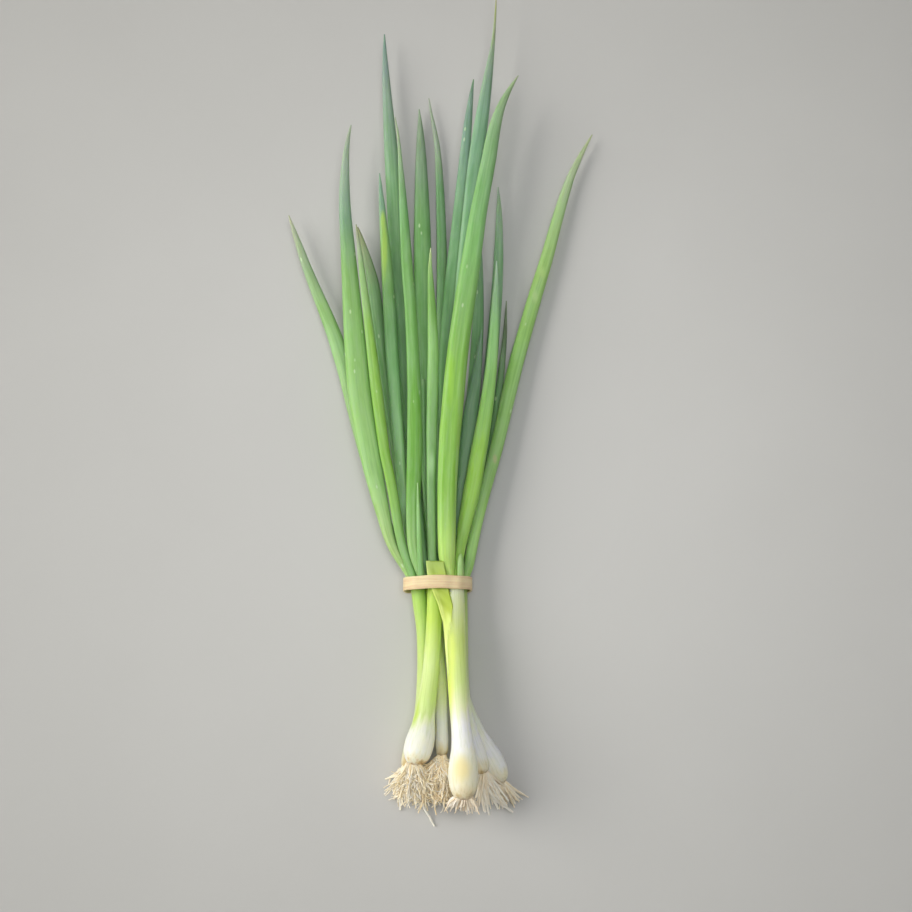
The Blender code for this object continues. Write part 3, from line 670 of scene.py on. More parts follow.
add_leaf("hidden_left_leaf", "left_low_leaf_e", [
    (-7, -1, 5.2, 3.2), (-7.9, 4, 5, 3.3), (-9.9, 14, 4.2, 3.8), (-12.5, 26, 3.4, 4.4),
    (-15.6, 42, 2.5, 4.8), (-18.8, 60, 2, 5.2), (-21.6, 78, 1.9, 5.5), (-24.4, 96, 1.9, 5.8),
    (-27.6, 120, 1.9, 5.9), (-30.6, 142, 2.1, 5.6), (-33.2, 154, 2.5, 4.2), (-35.7, 163, 3, 2.6),
    (-37.2, 168, 3.3, 1.5), (-38.6, 172, 3.6, 0.5)], [
    (0, "#80b06c"), (60, "#7cab6a"), (110, "#7aa96c"), (140, "#86ad78"), (156, "#9aa983"), (172, "#8a7c64")],
    seed=5.0)

# The upper left onion's leaves, in the middle of the fan.
add_leaf("brown_tipped_leaf", "left_top_leaf_a", [
    (-6.2, -1, 12.9, 3.8), (-7.2, 3.6, 13.8, 4), (-8.7, 8, 15, 4.5), (-10.4, 13.5, 15.8, 4.9),
    (-11.2, 20, 16.3, 5.4), (-11.3, 28, 16.8, 5.9), (-11.2, 37, 17.2, 6.4), (-10.8, 49, 17.7, 6.9),
    (-10.5, 62, 18, 7.1), (-10.6, 76, 18.3, 6.9), (-10.9, 90, 18.6, 6.4), (-11.7, 109, 18.9, 5.8),
    (-12.8, 128, 19.2, 5.4), (-14, 142, 19.3, 5.3), (-15, 156, 19.4, 5), (-15.9, 170, 19.4, 4.3),
    (-16.8, 184, 19.4, 3.3), (-17.7, 196, 19.3, 2.3), (-18.6, 208, 19.2, 1.4), (-19.5, 215, 19.1, 1),
    (-20.6, 221, 19, 0.5)], [
    (0, "#98c07a"), (17, "#98c074"), (47, "#80ad60"), (70, "#7cae5c"), (110, "#7aae5c"), (149, "#76a95c"),
    (175, "#7cad70"), (196, "#8fae84"), (206, "#a0b292"), (221, "#a8ae98")],
    seed=6.0, groove=(0.18, -0.35), bare=(98, 0.1, 0.8, "#6fa83e"))

add_leaf("light_tipped_leaf", "left_top_leaf_b", [
    (-2.5, -1, 14.3, 3.8), (-2.6, 8, 15, 3.8), (-2.7, 20, 16.2, 3.8), (-2.9, 32, 17.3, 3.8),
    (-3, 45, 18.2, 4), (-2.9, 58, 18.7, 4.5), (-2.8, 70, 19, 4.9), (-2.4, 88, 19.3, 5.2),
    (-2.2, 106, 19.4, 5.1), (-2.5, 118, 19.4, 4.6), (-3, 130, 19.4, 3.8), (-3.4, 139, 19.4, 2.9),
    (-3.7, 147, 19.4, 1.9), (-3.5, 156.5, 19.2, 0.5)], [
    (0, "#86ae6c"), (24, "#86b06c"), (50, "#7aa662"), (80, "#7cab60"), (107, "#92c272"), (128, "#80ae5c"),
    (138, "#7cab56"), (148, "#a4c67c"), (156, "#ccd9a6")],
    seed=7.0, groove=(0.12, 0.2), marks=[
        ((-2.9, 54, 20.5), (1.4, 5, 3), 0.8, "#9cc488")])

add_leaf("tall_back_leaf", "left_top_leaf_c", [
    (-4.4, -1, 10.2, 3.2), (-4.8, 4, 10.1, 3.3), (-6.2, 12, 9.3, 3.8), (-7.7, 20, 8.6, 4.3),
    (-9.9, 38, 7.8, 5), (-12.2, 60, 7.2, 5.8), (-14, 82, 6.8, 6.4), (-15.8, 105, 6.6, 7),
    (-17.2, 124, 6.6, 7.3), (-18.6, 143, 6.6, 7.5), (-20, 166, 6.7, 7.6), (-21.4, 190, 6.8, 7.3),
    (-22.5, 205, 7, 6.7), (-23.6, 220, 7.2, 5.8), (-24.6, 233, 7.5, 4.7), (-25.5, 246, 7.8, 3.5),
    (-26.1, 258, 8, 2), (-26.4, 268, 8.2, 0.5)], [
    (0, "#80b06e"), (60, "#7aa76c"), (120, "#78a76e"), (160, "#7fad74"), (190, "#88b482"), (213, "#8bab8c"),
    (241, "#94a69a"), (268, "#7f9796")],
    seed=8.0, groove=(0.12, 0.1))

add_leaf("young_leaf_tip", "left_top_leaf_d", [
    (-7, -1, 15.6, 2.4), (-7.6, 7, 17.5, 2.6), (-8, 14, 18.8, 2.5), (-8.4, 23, 19.8, 2.2),
    (-8.8, 34, 20.7, 1.5), (-9.1, 45, 21.4, 0.5)], [
    (0, "#8ab870"), (20, "#8fbe72"), (36, "#94c276"), (45, "#a6cd8c")],
    seed=9.0)

# The thin middle onion's leaves lie lowest, behind the others.
add_leaf("broad_back_leaf", "middle_leaf_a", [
    (-3.8, -1, 6.6, 3.6), (-4, 4, 6.4, 3.7), (-4.3, 12, 5.4, 4), (-4.6, 20, 4.7, 4.4), (-4.9, 38, 3.6, 5.4),
    (-5.3, 60, 3, 6.4), (-6, 90, 2.7, 7.3), (-6.7, 120, 2.6, 8.1), (-7.1, 135, 2.6, 8.4),
    (-7.4, 148, 2.6, 8.5), (-7.7, 166, 2.6, 8.1), (-8, 184, 2.7, 7.1), (-8.3, 198, 2.8, 6),
    (-8.6, 211, 3, 4.6), (-9, 222, 3.3, 2.7), (-9.5, 231.5, 3.6, 0.5)], [
    (0, "#7cae66"), (60, "#74a562"), (120, "#70a15e"), (150, "#72a660"), (176, "#76a666"), (199, "#84a180"),
    (231, "#8f9b8a")],
    seed=10.0, groove=(0.1, 0.0))

add_leaf("dry_tipped_leaf", "middle_leaf_b", [
    (-0.1, -1, 7.9, 3.5), (0, 4, 7.6, 3.6), (0.3, 10, 6.7, 3.8), (0.7, 20, 5.5, 4.2), (1, 38, 3.8, 4.7),
    (1.3, 60, 2.8, 5), (1.5, 95, 2, 5.1), (1.6, 135, 1.9, 5), (1.5, 158, 1.9, 4.8), (1.1, 178, 2.1, 4.4),
    (0.4, 196, 2.6, 3.7), (-0.6, 211, 3, 2.8), (-1.9, 220, 3.2, 2.1), (-3.4, 228, 3.4, 1.3),
    (-4.9, 237, 3.6, 0.5)], [
    (0, "#7aab66"), (60, "#74a562"), (140, "#6f9d66"), (190, "#709c6c"), (208, "#90a588"), (218, "#9ca896"),
    (237, "#a4a89c")],
    seed=11.0)

add_leaf("blunt_leaf", "middle_leaf_c", [
    (-0.5, -1, 11.4, 3.2), (-0.9, 4, 11.4, 3.3), (-2, 12, 11.5, 3.5), (-3.2, 22, 11.6, 3.7),
    (-4.9, 41, 11.9, 3.8), (-6.2, 60, 12.2, 3.8), (-6.8, 75, 12.3, 3.6), (-7.1, 88, 12.4, 3.4),
    (-7.2, 93, 12.4, 3.1), (-7.2, 95.2, 12.4, 2.2)], [
    (0, "#80b068"), (50, "#7cad68"), (88, "#7aab6a"), (95, "#8aa878")],
    seed=12.0)

# The front right onion's leaves: the widest one lies on top of everything.
add_leaf("widest_leaf", "right_top_leaf_a", [
    (5.7, -1, 14.2, 4), (5.3, 4, 14.2, 4.8), (4.6, 9, 14.7, 6.6), (4.25, 12, 15.9, 7.6),
    (4.15, 15.5, 16.9, 7.9), (4.1, 20, 17.5, 8.1), (4.1, 25, 18, 8.3), (4.1, 31, 18.7, 8.4),
    (4.3, 44, 19.6, 8.8), (4.9, 57, 20.4, 9.3), (5.5, 67, 20.8, 9.7), (6.4, 77, 21, 9.9),
    (7.8, 93, 21.2, 9.9), (9.6, 110, 21.4, 9.7), (11.8, 126, 21.5, 9.6), (14.2, 142, 21.6, 9.3),
    (16.4, 157, 21.7, 8.6), (18.8, 173, 21.8, 7.9), (21.4, 187, 21.9, 7.4), (23.9, 200, 22, 6.9),
    (25.4, 209, 22.1, 6.3), (27.1, 217, 22.2, 5.4), (29.2, 224, 22.3, 4.2), (32, 230.5, 22.4, 2.9),
    (35, 236, 22.5, 1.6), (37.8, 240.5, 22.6, 0.5)], [
    (0, "#cbe87c"), (17, "#bbe070"), (47, "#9dc962"), (80, "#92c056"), (103, "#88bb50"), (130, "#86b864"),
    (153, "#86bc6e"), (185, "#84b674"), (213, "#90b484"), (232, "#98b088"), (241, "#a0a888")],
    # its left edge gets a painted highlight
    seed=13.0, groove=(0.22, 0.05), bare=(108, -0.1, 0.55, "#86bc3c"), rim=("#b7dc7e", 0.1), marks=[
        ((6, 93, 23.4), (1.2, 11, 3), 0.6, "#96c94a")])

add_leaf("tallest_leaf", "right_top_leaf_b", [
    (3.1, -1, 11.5, 3.6), (3.2, 4, 11.7, 3.7), (3.4, 12, 12.5, 4), (3.6, 20, 13.2, 4.3), (4.1, 38, 14, 4.8),
    (5, 60, 14.6, 5.4), (6.8, 87, 15, 6), (9.1, 115, 15.2, 6.5), (11.9, 145, 15.3, 6.9),
    (14.9, 174, 15.4, 7.2), (16.5, 190, 15.4, 7.2), (18.2, 205, 15.4, 7), (19.7, 216, 15.4, 6.7),
    (21.2, 226, 15.4, 6.1), (22.9, 238, 15.5, 4.9), (24.5, 249, 15.6, 3.4), (25.8, 258, 15.7, 2.1),
    (26.7, 267, 15.8, 1.3), (27.3, 276, 15.9, 0.9), (27.7, 284.5, 16, 0.4)], [
    (0, "#86b46c"), (100, "#7cac6c"), (150, "#79a876"), (190, "#7ea884"), (222, "#85ab8e"),
    (241, "#8ca693"), (258, "#96a48e"), (284, "#b0a878")],
    # its left edge gets a painted highlight
    seed=14.0, groove=(0.14, 0.1), rim=("#a3c3a0", 0.3))

# The lower right onion's leaves.
add_leaf("centre_back_leaf", "right_low_leaf_a", [
    (3.9, -1, 7.4, 3.4), (3.9, 4, 7.7, 3.4), (3.8, 10, 8.7, 3.6), (3.5, 20, 9.6, 4), (3, 38, 9.9, 4.5),
    (2.8, 60, 10, 5), (2.7, 82, 10.1, 5.4), (3.3, 105, 10.2, 5.8), (5, 128, 10.3, 6.3),
    (7.1, 150, 10.4, 6.5), (9, 168, 10.5, 6.2), (10.7, 186, 10.6, 5.6), (12.1, 201, 10.7, 5.1),
    (13.4, 215, 10.8, 4.4), (14.4, 225, 10.9, 3.5), (15.3, 233, 11, 2.4), (16, 238.5, 11.1, 1.5),
    (16.7, 243.5, 11.2, 0.5)], [
    (0, "#7aab66"), (60, "#76a764"), (110, "#70a066"), (150, "#72a26c"), (180, "#7aa37c"), (205, "#84a490"),
    (230, "#839c90"), (243, "#7a8d85")],
    seed=15.0, groove=(0.12, -0.1))

add_leaf("low_right_leaf", "right_low_leaf_b", [
    (5.1, -1, 3.4, 3.4), (5.7, 4, 3.3, 3.5), (7.4, 12, 3, 3.9), (9.4, 20, 2.8, 4.2), (14.7, 42, 2.4, 5),
    (18.8, 63, 2.1, 5.6), (22.4, 84, 2, 6), (25.1, 109, 1.9, 5.9), (27.2, 134, 1.9, 5.4),
    (28.3, 151, 2.1, 4.8), (28.8, 166, 2.4, 3.9), (28.9, 180, 2.8, 2.6), (28.4, 192, 3.4, 0.5)], [
    (0, "#7aab68"), (60, "#76a568"), (120, "#82ac7e"), (160, "#90b68e"), (192, "#a6b8a0")],
    seed=16.0)

add_leaf("low_inner_leaf", "right_low_leaf_c", [
    (1, -1, 3.3, 3.4), (1.6, 4, 3.2, 3.5), (3.2, 12, 2.9, 3.7), (5.1, 20, 2.6, 4.1), (9.2, 42, 2.1, 5),
    (12.8, 63, 2, 5.6), (15.6, 84, 2, 6), (17.3, 102, 1.9, 5.9), (18.5, 120, 1.8, 5.5),
    (19.1, 137, 1.9, 4.6), (19.4, 152, 2, 3.4), (19.3, 163, 2.3, 2.1), (19.2, 172, 2.6, 0.5)], [
    (0, "#7aab68"), (60, "#74a464"), (120, "#76a272"), (172, "#86a684")],
    seed=17.0)

# The middle right onion's leaves.
add_leaf("light_right_leaf", "right_mid_leaf_a", [
    (8.8, -1, 11.4, 3.7), (9, 5, 11.8, 3.9), (9.6, 11, 12.2, 4.2), (10.6, 18, 12.8, 4.9),
    (12.2, 27, 13.4, 6.2), (14.8, 39, 13.9, 7.5), (16.5, 48, 14.2, 7.7), (18.2, 58, 14.4, 7.6),
    (20.2, 69, 14.5, 7.1), (22, 80, 14.6, 6.5), (23.5, 91, 14.7, 5.9), (24.8, 102, 14.8, 5.3),
    (25.8, 116, 14.8, 4.5), (26.5, 130, 14.8, 3.5), (27, 141, 14.9, 2.1), (27.3, 151.5, 15, 0.5)], [
    (0, "#aed868"), (25, "#a2d058"), (47, "#98ca50"), (70, "#90c258"), (95, "#8fc26a"), (120, "#96ca80"),
    (140, "#a9c9a6"), (151, "#c3d8c4")],
    # its left edge gets a painted highlight
    seed=18.0, groove=(0.16, 0.15), bare=(72, 0.1, 0.8, "#98c946"), rim=("#b9dd8e", 0.15))

add_leaf("outer_right_leaf", "right_mid_leaf_b", [
    (12.1, -1, 9.5, 3.4), (12.8, 3.8, 9.7, 3.7), (14.1, 8.6, 9.9, 4.5), (14.8, 12.8, 10, 4.9),
    (15.7, 17.7, 10, 5.1), (17.6, 27.2, 9.9, 5.2), (20.3, 38.5, 9.6, 5.4), (23.1, 49.2, 9.1, 5.7),
    (26.1, 60, 8.6, 5.9), (29.2, 73, 8, 6.3), (32.4, 87.5, 7.4, 6.7), (36.4, 104.3, 6.7, 6.9),
    (41, 121, 6.2, 6.7), (46.2, 139, 5.8, 6.5), (51.6, 157, 5.4, 6), (56, 173.3, 5.2, 5.4),
    (60.2, 187.6, 5, 4.6), (63.4, 197, 4.9, 3.7), (67, 205, 4.8, 2.7), (70.5, 212, 4.7, 1.6),
    (73.8, 218, 4.6, 0.5)], [
    (0, "#a0cc74"), (24, "#a6d276"), (50, "#96c070"), (80, "#96c26e"), (107, "#95c46a"), (153, "#a4ca76"),
    (176, "#a8c88a"), (197, "#b6c6a0"), (218, "#b4ba94")],
    seed=19.0, groove=(0.14, 0.2), marks=[
        ((49, 148, 7.4), (1.3, 2.4, 3), 0.7, "#adce7e"),
        ((45.6, 136.5, 7.6), (1.2, 2.6, 3), 0.7, "#adce86"),
        ((26.2, 58, 10.2), (0.9, 1.9, 3), 0.6, "#b4bc84")])

add_leaf("smooth_dark_leaf", "right_mid_leaf_c", [
    (7.8, -1, 7.9, 3.5), (8, 4, 7.9, 3.6), (8.3, 12, 8.1, 3.9), (8.6, 20, 8.2, 4.3), (9.4, 32, 8.2, 5.1),
    (10.4, 44, 8.2, 6.1), (11.6, 53, 8.2, 6.8), (12.8, 63, 8.2, 7.2), (14.2, 73, 8.3, 7.1),
    (15.5, 83, 8.4, 6.5), (16.8, 91, 8.6, 5.6), (18.1, 100, 8.8, 4.2), (19.2, 110, 8.9, 2.4),
    (20.3, 120, 9, 0.5)], [
    (0, "#6f9a64"), (40, "#719d68"), (70, "#739d70"), (100, "#7b9f7c"), (120, "#8aa88c")],
    seed=20.0, groove=(0.1, 0.0))

add_leaf("dark_right_leaf", "right_mid_leaf_d", [
    (10.8, -1, 5.6, 3), (11.4, 4, 5.6, 3.1), (13.2, 12, 5.5, 3.4), (15.3, 20, 5.4, 3.7),
    (18.8, 35.2, 5, 3.9), (22.4, 52.5, 4.4, 4), (25.7, 71.6, 4, 3.9), (28.3, 91, 3.6, 3.5),
    (30.1, 106, 3.5, 2.8), (31.3, 119, 3.4, 1.9), (31.8, 128, 3.4, 1.1), (32.1, 135.5, 3.4, 0.4)], [
    (0, "#74a262"), (50, "#6f9a60"), (90, "#6c9262"), (115, "#6d7f62"), (134, "#645f52")],
    seed=21.0)

# ---------------------------------------------------------------------------------------------
# The cut leaf, which peels off the front onion's shank and passes under the band: an open channel of thin,
# fleshy leaf with a pale fold along its left side, cut square above the band. The fold's colour also holds a
# painted highlight. Beside it the pale, rounded tip of the next leaf shows.

CUT_THICK = 0.7
CUT_RIM = 0.9  # how far the left fold stands above the floor of the channel
CUT_STEPS = 100
CUT_ACROSS = 18
CUT_FULL_WIDTH = 7.0  # from this width on, the leaf has its full thickness and fold
CUT_WAVE = 0.10
CUT_RAGGED = ((7, 0.22, 1.0), (17, 0.12, 0.0))  # how many, height and turn, across its cut end
CUT_VEIN = 0.7

# x, y, z, width and how steeply its left side falls away, from the shank to its square end.
CUT_LEAF = [
    (5.6, -45, 21.3, 0.4, 0.9), (5.4, -42, 21, 1, 0.9), (5.15, -38, 20.5, 1.7, 0.88),
    (5, -34, 20.1, 2.2, 0.85), (4.8, -30, 19.65, 2.6, 0.8), (4.7, -26, 19.2, 3, 0.75),
    (4.6, -22, 18.8, 3.4, 0.65), (4.4, -18, 18.4, 4, 0.45), (4.05, -14.5, 18.2, 5.1, 0.25),
    (3.7, -11, 18, 6.4, 0.12), (2.9, -8, 17.7, 6.8, 0.05), (1.5, -4, 17.4, 7.4, 0), (0.6, -1, 17.3, 8.2, 0),
    (0, 2, 17.3, 8.7, 0), (-0.5, 5, 17.35, 8.6, 0), (-0.9, 7.8, 17.5, 8.3, 0), (-1.1, 9.7, 17.6, 8.1, 0)]


def along_path(points, steps):
    """Points evenly spread in y on a smooth line through the given ones."""
    made = []
    for i in range(steps + 1):
        y = points[0][1] + (points[-1][1] - points[0][1]) * i / steps
        k = max(j for j in range(len(points) - 1) if points[j][1] <= y + 1e-6)
        before, after = points[max(k - 1, 0)], points[min(k + 2, len(points) - 1)]
        start, end = points[k], points[k + 1]
        t = (y - start[1]) / (end[1] - start[1])
        values = []
        for c in range(len(start)):
            slope_in = (end[c] - before[c]) / 2
            slope_out = (after[c] - start[c]) / 2
            values.append((2 * t**3 - 3 * t**2 + 1) * start[c] + (t**3 - 2 * t**2 + t) * slope_in
                          + (3 * t**2 - 2 * t**3) * end[c] + (t**3 - t**2) * slope_out)
        values[1] = y
        made.append(values)
    return made


def channel_mesh():
    """The open channel as a closed shell, with ring and grain attributes as on a grown tube."""
    verts, ring, grain = [], [], []
    for i, (x, y, z, width, lean) in enumerate(along_path(CUT_LEAF, CUT_STEPS)):
        size = min(width / CUT_FULL_WIDTH, 1.0)
        thick = CUT_THICK * (0.35 + 0.65 * size)
        for side in (1, -1):
            for j in range(CUT_ACROSS + 1):
                u = side * (2 * j / CUT_ACROSS - 1)
                edge = math.sqrt(max(1 - u * u, 0.0)) ** 0.5
                fold = CUT_RIM * size * (max(-u - 0.1, 0.0) ** 1.6 - 0.35 * (1 - u * u))
                wave = CUT_WAVE * math.sin(0.9 * y + 4 * u) * size
                ragged = rippled(u, CUT_RAGGED) if i == CUT_STEPS else 0.0
                high = z + u * lean * width / 2 + fold + wave + side * edge * thick / 2
                verts.append(place(x + u * width / 2, y + ragged, high))
                ring += (u, side * edge, i / CUT_STEPS)
                grain += (u * width / 2 * MM, side * edge * thick * MM, y * MM)
    count = 2 * (CUT_ACROSS + 1)
    faces = ring_faces(CUT_STEPS + 1, count, False)
    faces.append(tuple(range(count)))
    faces.append(tuple(CUT_STEPS * count + j for j in reversed(range(count))))
    mesh = bpy.data.meshes.new("cut_leaf")
    mesh.from_pydata(verts, [], faces)
    for label, values in (("ring", ring), ("grain", grain)):
        mesh.attributes.new(label, "FLOAT_VECTOR", "POINT").data.foreach_set("vector", values)
    shape = bmesh.new()
    shape.from_mesh(mesh)
    bmesh.ops.remove_doubles(shape, verts=shape.verts, dist=0.01 * MM)
    bmesh.ops.recalc_face_normals(shape, faces=shape.faces)
    shape.to_mesh(mesh)
    shape.free()
    return mesh


# Young leaf flesh: yellow where little light reached it, olive inside the channel, partly its own colour and
# partly painted shade in the hollow.
young, tree, shader = new_material("young_leaf_yellow_green")
ring = node(tree, "SeparateXYZ", node(tree, "Attribute", attribute_name="ring").outputs["Vector"]).outputs
# The fold along the left side is lighter: partly its own pale flesh, partly a painted highlight where it
# faces the window.
pale_fold_highlight_share = node(tree, "MapRange", ring[0], -0.30, -0.72, **SMOOTH)
channel = node(tree, "ValToRGB", ring[2], stops=[
    (0.0, "#dcee96"), (0.32, "#dcee86"), (0.52, "#d6e876"), (0.60, "#c0d250"), (0.66, "#b6cb48"),
    (0.83, "#b2c94e"), (0.95, "#aec65a"), (1.0, "#a2bc52")])
fold = node(tree, "ValToRGB", ring[2], stops=[
    (0.0, "#e0f098"), (0.32, "#e2f08c"), (0.56, "#e6f684"), (0.74, "#e0f27e"), (0.88, "#d2e682"),
    (1.0, "#c8e07c")])
colour = node(tree, "Mix", {"Factor": pale_fold_highlight_share, 6: channel, 7: fold}, data_type="RGBA")
veins = skin_noise(tree, CUT_VEIN, 30, 2.0)
vein_share = node(tree, "MapRange", veins, 0.48, 0.74, 0.0, 0.35)
colour = node(tree, "Mix", {"Factor": vein_share, 6: colour, 7: "#9fbc48"}, data_type="RGBA")
bump = node(tree, "Bump", {"Height": veins, "Strength": 0.3, "Distance": 0.10 * MM})
fill(tree, shader, {
    "Base Color": colour, "Normal": bump, "Roughness": 0.42, "IOR": 1.42, "Subsurface Weight": 0.2,
    "Subsurface Radius": (0.8, 1.0, 0.3), "Subsurface Scale": 1 * MM})

mesh = channel_mesh()
mesh.materials.append(young)
finished("cut_leaf", mesh, "right_top_cut_leaf")

add_leaf("pale_leaf_tip", "right_top_sheath", [
    (10.3, -1, 14.2, 2.8), (10.35, 3, 14.8, 3), (10.4, 7, 15.3, 3.1), (10.4, 10, 15.7, 2.9),
    (10.35, 12.2, 15.9, 2.2), (10.3, 13.3, 15.9, 1)], [
    (0, "#c3cf92"), (4, "#a6c47c"), (9, "#96bc70"), (13, "#a8cc80")],
    seed=22.0, slot="young_leaf")

# ---------------------------------------------------------------------------------------------
# The roots: a tuft of short strands under each bulb, fleshy and whitish where they are fresh and
# straw-coloured where they have dried, drooping from the basal plate to the surface.

ROOT_STEP = 0.7
ROOT_SIDES = 6
ROOT_LUMP = 0.28  # height of the lumps along a strand, as a share of its radius
ROOT_LUMP_SIZE = 1.1
ROOT_CROOK_SIZE = 2.2
ROOT_BENDS = 8
TANGLE_DROOP = 0.5


def strand_tree():
    """Tubes round lines whose points hold radius. Dry strands are lumpy and a little crooked."""
    tree = new_tree("root_strands", [
        ("Lines", "Geometry"), ("Rings apart", "Float"), ("Sides", "Int"), ("Lump height", "Float"),
        ("Lump size", "Float"), ("Crook", "Float"), ("Seed", "Float"), ("Skin", "Material")], "Strands")
    given = node(tree, "NodeGroupInput").outputs
    here = node(tree, "GeometryNodeInputPosition")
    crooks, lumps = (
        node(tree, "TexNoise", {"Vector": here, "W": given["Seed"], "Detail": 1.0,
                                "Scale": node(tree, "Math", 1.0, size, operation="DIVIDE")},
             noise_dimensions="4D") for size in (ROOT_CROOK_SIZE * MM, given["Lump size"]))

    line = node(tree, "GeometryNodeMeshToCurve", {"Mesh": given["Lines"]})
    line = node(tree, "GeometryNodeCurveSplineType", {"Curve": line}, spline_type="CATMULL_ROM")
    line = node(tree, "GeometryNodeResampleCurve", {"Curve": line, "Length": given["Rings apart"]},
                mode="LENGTH")
    bent = node(tree, "VectorMath", crooks.outputs["Color"], (0.5, 0.5, 0.5), operation="SUBTRACT")
    bent = node(tree, "VectorMath", {0: bent, "Scale": given["Crook"]}, operation="SCALE")
    line = node(tree, "GeometryNodeSetPosition", {"Geometry": line, "Offset": bent})
    lump = node(tree, "Math", lumps, 0.5, operation="SUBTRACT")
    lump = node(tree, "Math", lump, given["Lump height"], operation="MULTIPLY")
    lump = node(tree, "Math", lump, 2.0, 1.0, operation="MULTIPLY_ADD")
    radius = node(tree, "GeometryNodeInputNamedAttribute", {"Name": "radius"}, data_type="FLOAT")
    radius = node(tree, "Math", radius, lump, operation="MULTIPLY")
    circle = node(tree, "GeometryNodeCurvePrimitiveCircle", {"Resolution": given["Sides"], "Radius": 1.0},
                  mode="RADIUS")
    tubes = node(tree, "GeometryNodeCurveToMesh",
                 {"Curve": line, "Profile Curve": circle, "Scale": radius, "Fill Caps": True})
    tubes = node(tree, "GeometryNodeRealizeInstances", {"Geometry": tubes})
    tubes = node(tree, "GeometryNodeSetMaterial", {"Geometry": tubes, "Material": given["Skin"]})
    node(tree, "NodeGroupOutput", {"Strands": tubes})
    return tree


ROOT_STRANDS = strand_tree()


def grown_strand(dice, start, way, length, droop, curl, thick, tone):
    """One root that leaves start along way and sinks as it goes, until it lies on the surface: points of x,
    y, z, half thickness and lightness. It is darker near its start: painted shade under the bulb, and some
    soil."""
    at = Vector(start)
    way = Vector(way).normalized()
    turn = Vector([dice.uniform(-1, 1) for _ in range(3)]) * curl
    line = []
    for k in range(ROOT_BENDS + 1):
        share = k / ROOT_BENDS
        # Lightness falls towards the start: painted shade under the bulb, and some soil.
        line.append((at.x, at.y, at.z, thick * (1.0 - 0.4 * share), tone * min(0.7 + 0.9 * share, 1.0)))
        way = (way + turn / ROOT_BENDS - Vector((0, 0, droop / ROOT_BENDS))).normalized()
        turn = turn * 0.75 + Vector([dice.uniform(-0.5, 0.5) for _ in range(3)]) * curl
        at = at + way * (length / ROOT_BENDS)
        if at.z < thick:
            at.z = thick + 0.3 * dice.random()
            way.z = abs(way.z) * 0.2
    return line


def heading_way(turned, raised):
    """The direction at these angles, in degrees, from straight down the bunch and from level."""
    turned, raised = math.radians(turned), math.radians(raised)
    return (math.sin(turned) * math.cos(raised), -math.cos(turned) * math.cos(raised), math.sin(raised))


def tuft(seed, base, plate, headings, lengths, count, droop, curl, thicks, tones):
    """count strands from a basal plate at base, whose half sizes are plate. headings are (left, right)
    angles from straight down the bunch and (down, up) angles, in degrees. lengths, thicks and tones
    are the least and most of each strand's length, half thickness and lightness."""
    dice = random.Random(seed)
    strands = []
    for _ in range(count):
        across = dice.uniform(-1, 1)
        turned = (headings[0] + headings[1]) / 2 + (headings[1] - headings[0]) / 2 * across
        way = heading_way(turned + dice.uniform(-8, 8), dice.uniform(headings[2], headings[3]))
        start = (base[0] + plate[0] * across, base[1] + dice.uniform(-0.4, 0.6),
                 base[2] + plate[1] * dice.uniform(-1, 1))
        strands.append(grown_strand(dice, start, way, dice.uniform(*lengths), droop * dice.uniform(0.6, 1.4),
                                    curl, dice.uniform(*thicks), dice.uniform(*tones)))
    return strands


def tangle(seed, near, far, spread, lengths, count, curl, thicks, tones):
    """Short curly side roots that fill the tuft between two places, spread to each side of them."""
    dice = random.Random(seed)
    strands = []
    for _ in range(count):
        share = dice.random()
        wide = 0.45 + 0.55 * share
        start = [near[k] + (far[k] - near[k]) * share + dice.uniform(-1, 1) * spread[k] * wide
                 for k in range(3)]
        way = heading_way(dice.uniform(-70, 70), dice.uniform(-45, 40))
        strands.append(grown_strand(dice, start, way, dice.uniform(*lengths), TANGLE_DROOP, curl,
                                    dice.uniform(*thicks), dice.uniform(*tones)))
    return strands


def root_skin(name, dark, middle, light):
    """Dry root: matt, streaked along the strand, darker where its lightness is low, as it is near the plate:
    painted shade under the bulb, and some soil.
    """
    material, tree, shader = new_material(name)
    spot = node(tree, "TexCoord").outputs["Object"]
    tone = node(tree, "Attribute", attribute_name="tone").outputs["Fac"]
    blotch = node(tree, "TexNoise", {"Vector": spot, "Scale": 1 / (2.5 * MM), "Detail": 3.0})
    fine = node(tree, "TexNoise", {"Vector": spot, "Scale": 1 / (0.35 * MM), "Detail": 2.0})
    tone = node(tree, "Math", blotch, 0.5, tone, operation="MULTIPLY_ADD")
    tone = node(tree, "Math", tone, 0.25, operation="SUBTRACT")
    colour = node(tree, "ValToRGB", tone, stops=[(0.0, dark), (0.45, middle), (1.0, light)])
    bump = node(tree, "Bump", {"Height": fine, "Strength": 0.5, "Distance": 0.08 * MM})
    fill(tree, shader, {
        "Base Color": colour, "Normal": bump, "Roughness": 0.72, "Specular IOR Level": 0.3,
        "Subsurface Weight": 0.1, "Subsurface Radius": (1.0, 0.85, 0.6), "Subsurface Scale": 0.4 * MM})
    return material


def add_roots(onion, strands, skin, seed, crook=0.9):
    """One onion's tuft, from its strands, its skin and how crooked they are in millimetres."""
    node_name = onion + "_roots"
    lines = lines_mesh(node_name, strands, (("radius", 3, MM), ("tone", 4, 1.0)))
    mesh = run_tree(node_name, ROOT_STRANDS, lines, {
        "Rings apart": ROOT_STEP * MM, "Sides": ROOT_SIDES, "Lump height": ROOT_LUMP,
        "Lump size": ROOT_LUMP_SIZE * MM, "Crook": crook * MM, "Seed": seed, "Skin": skin})
    finished(onion + "_root_tuft", mesh, node_name)


STRAW = root_skin("dry_straw_roots", "#ecd09c", "#fdedc8", "#fffaec")
FRESH = root_skin("fresh_pale_roots", "#f4e2ba", "#fff2d8", "#fffaec")

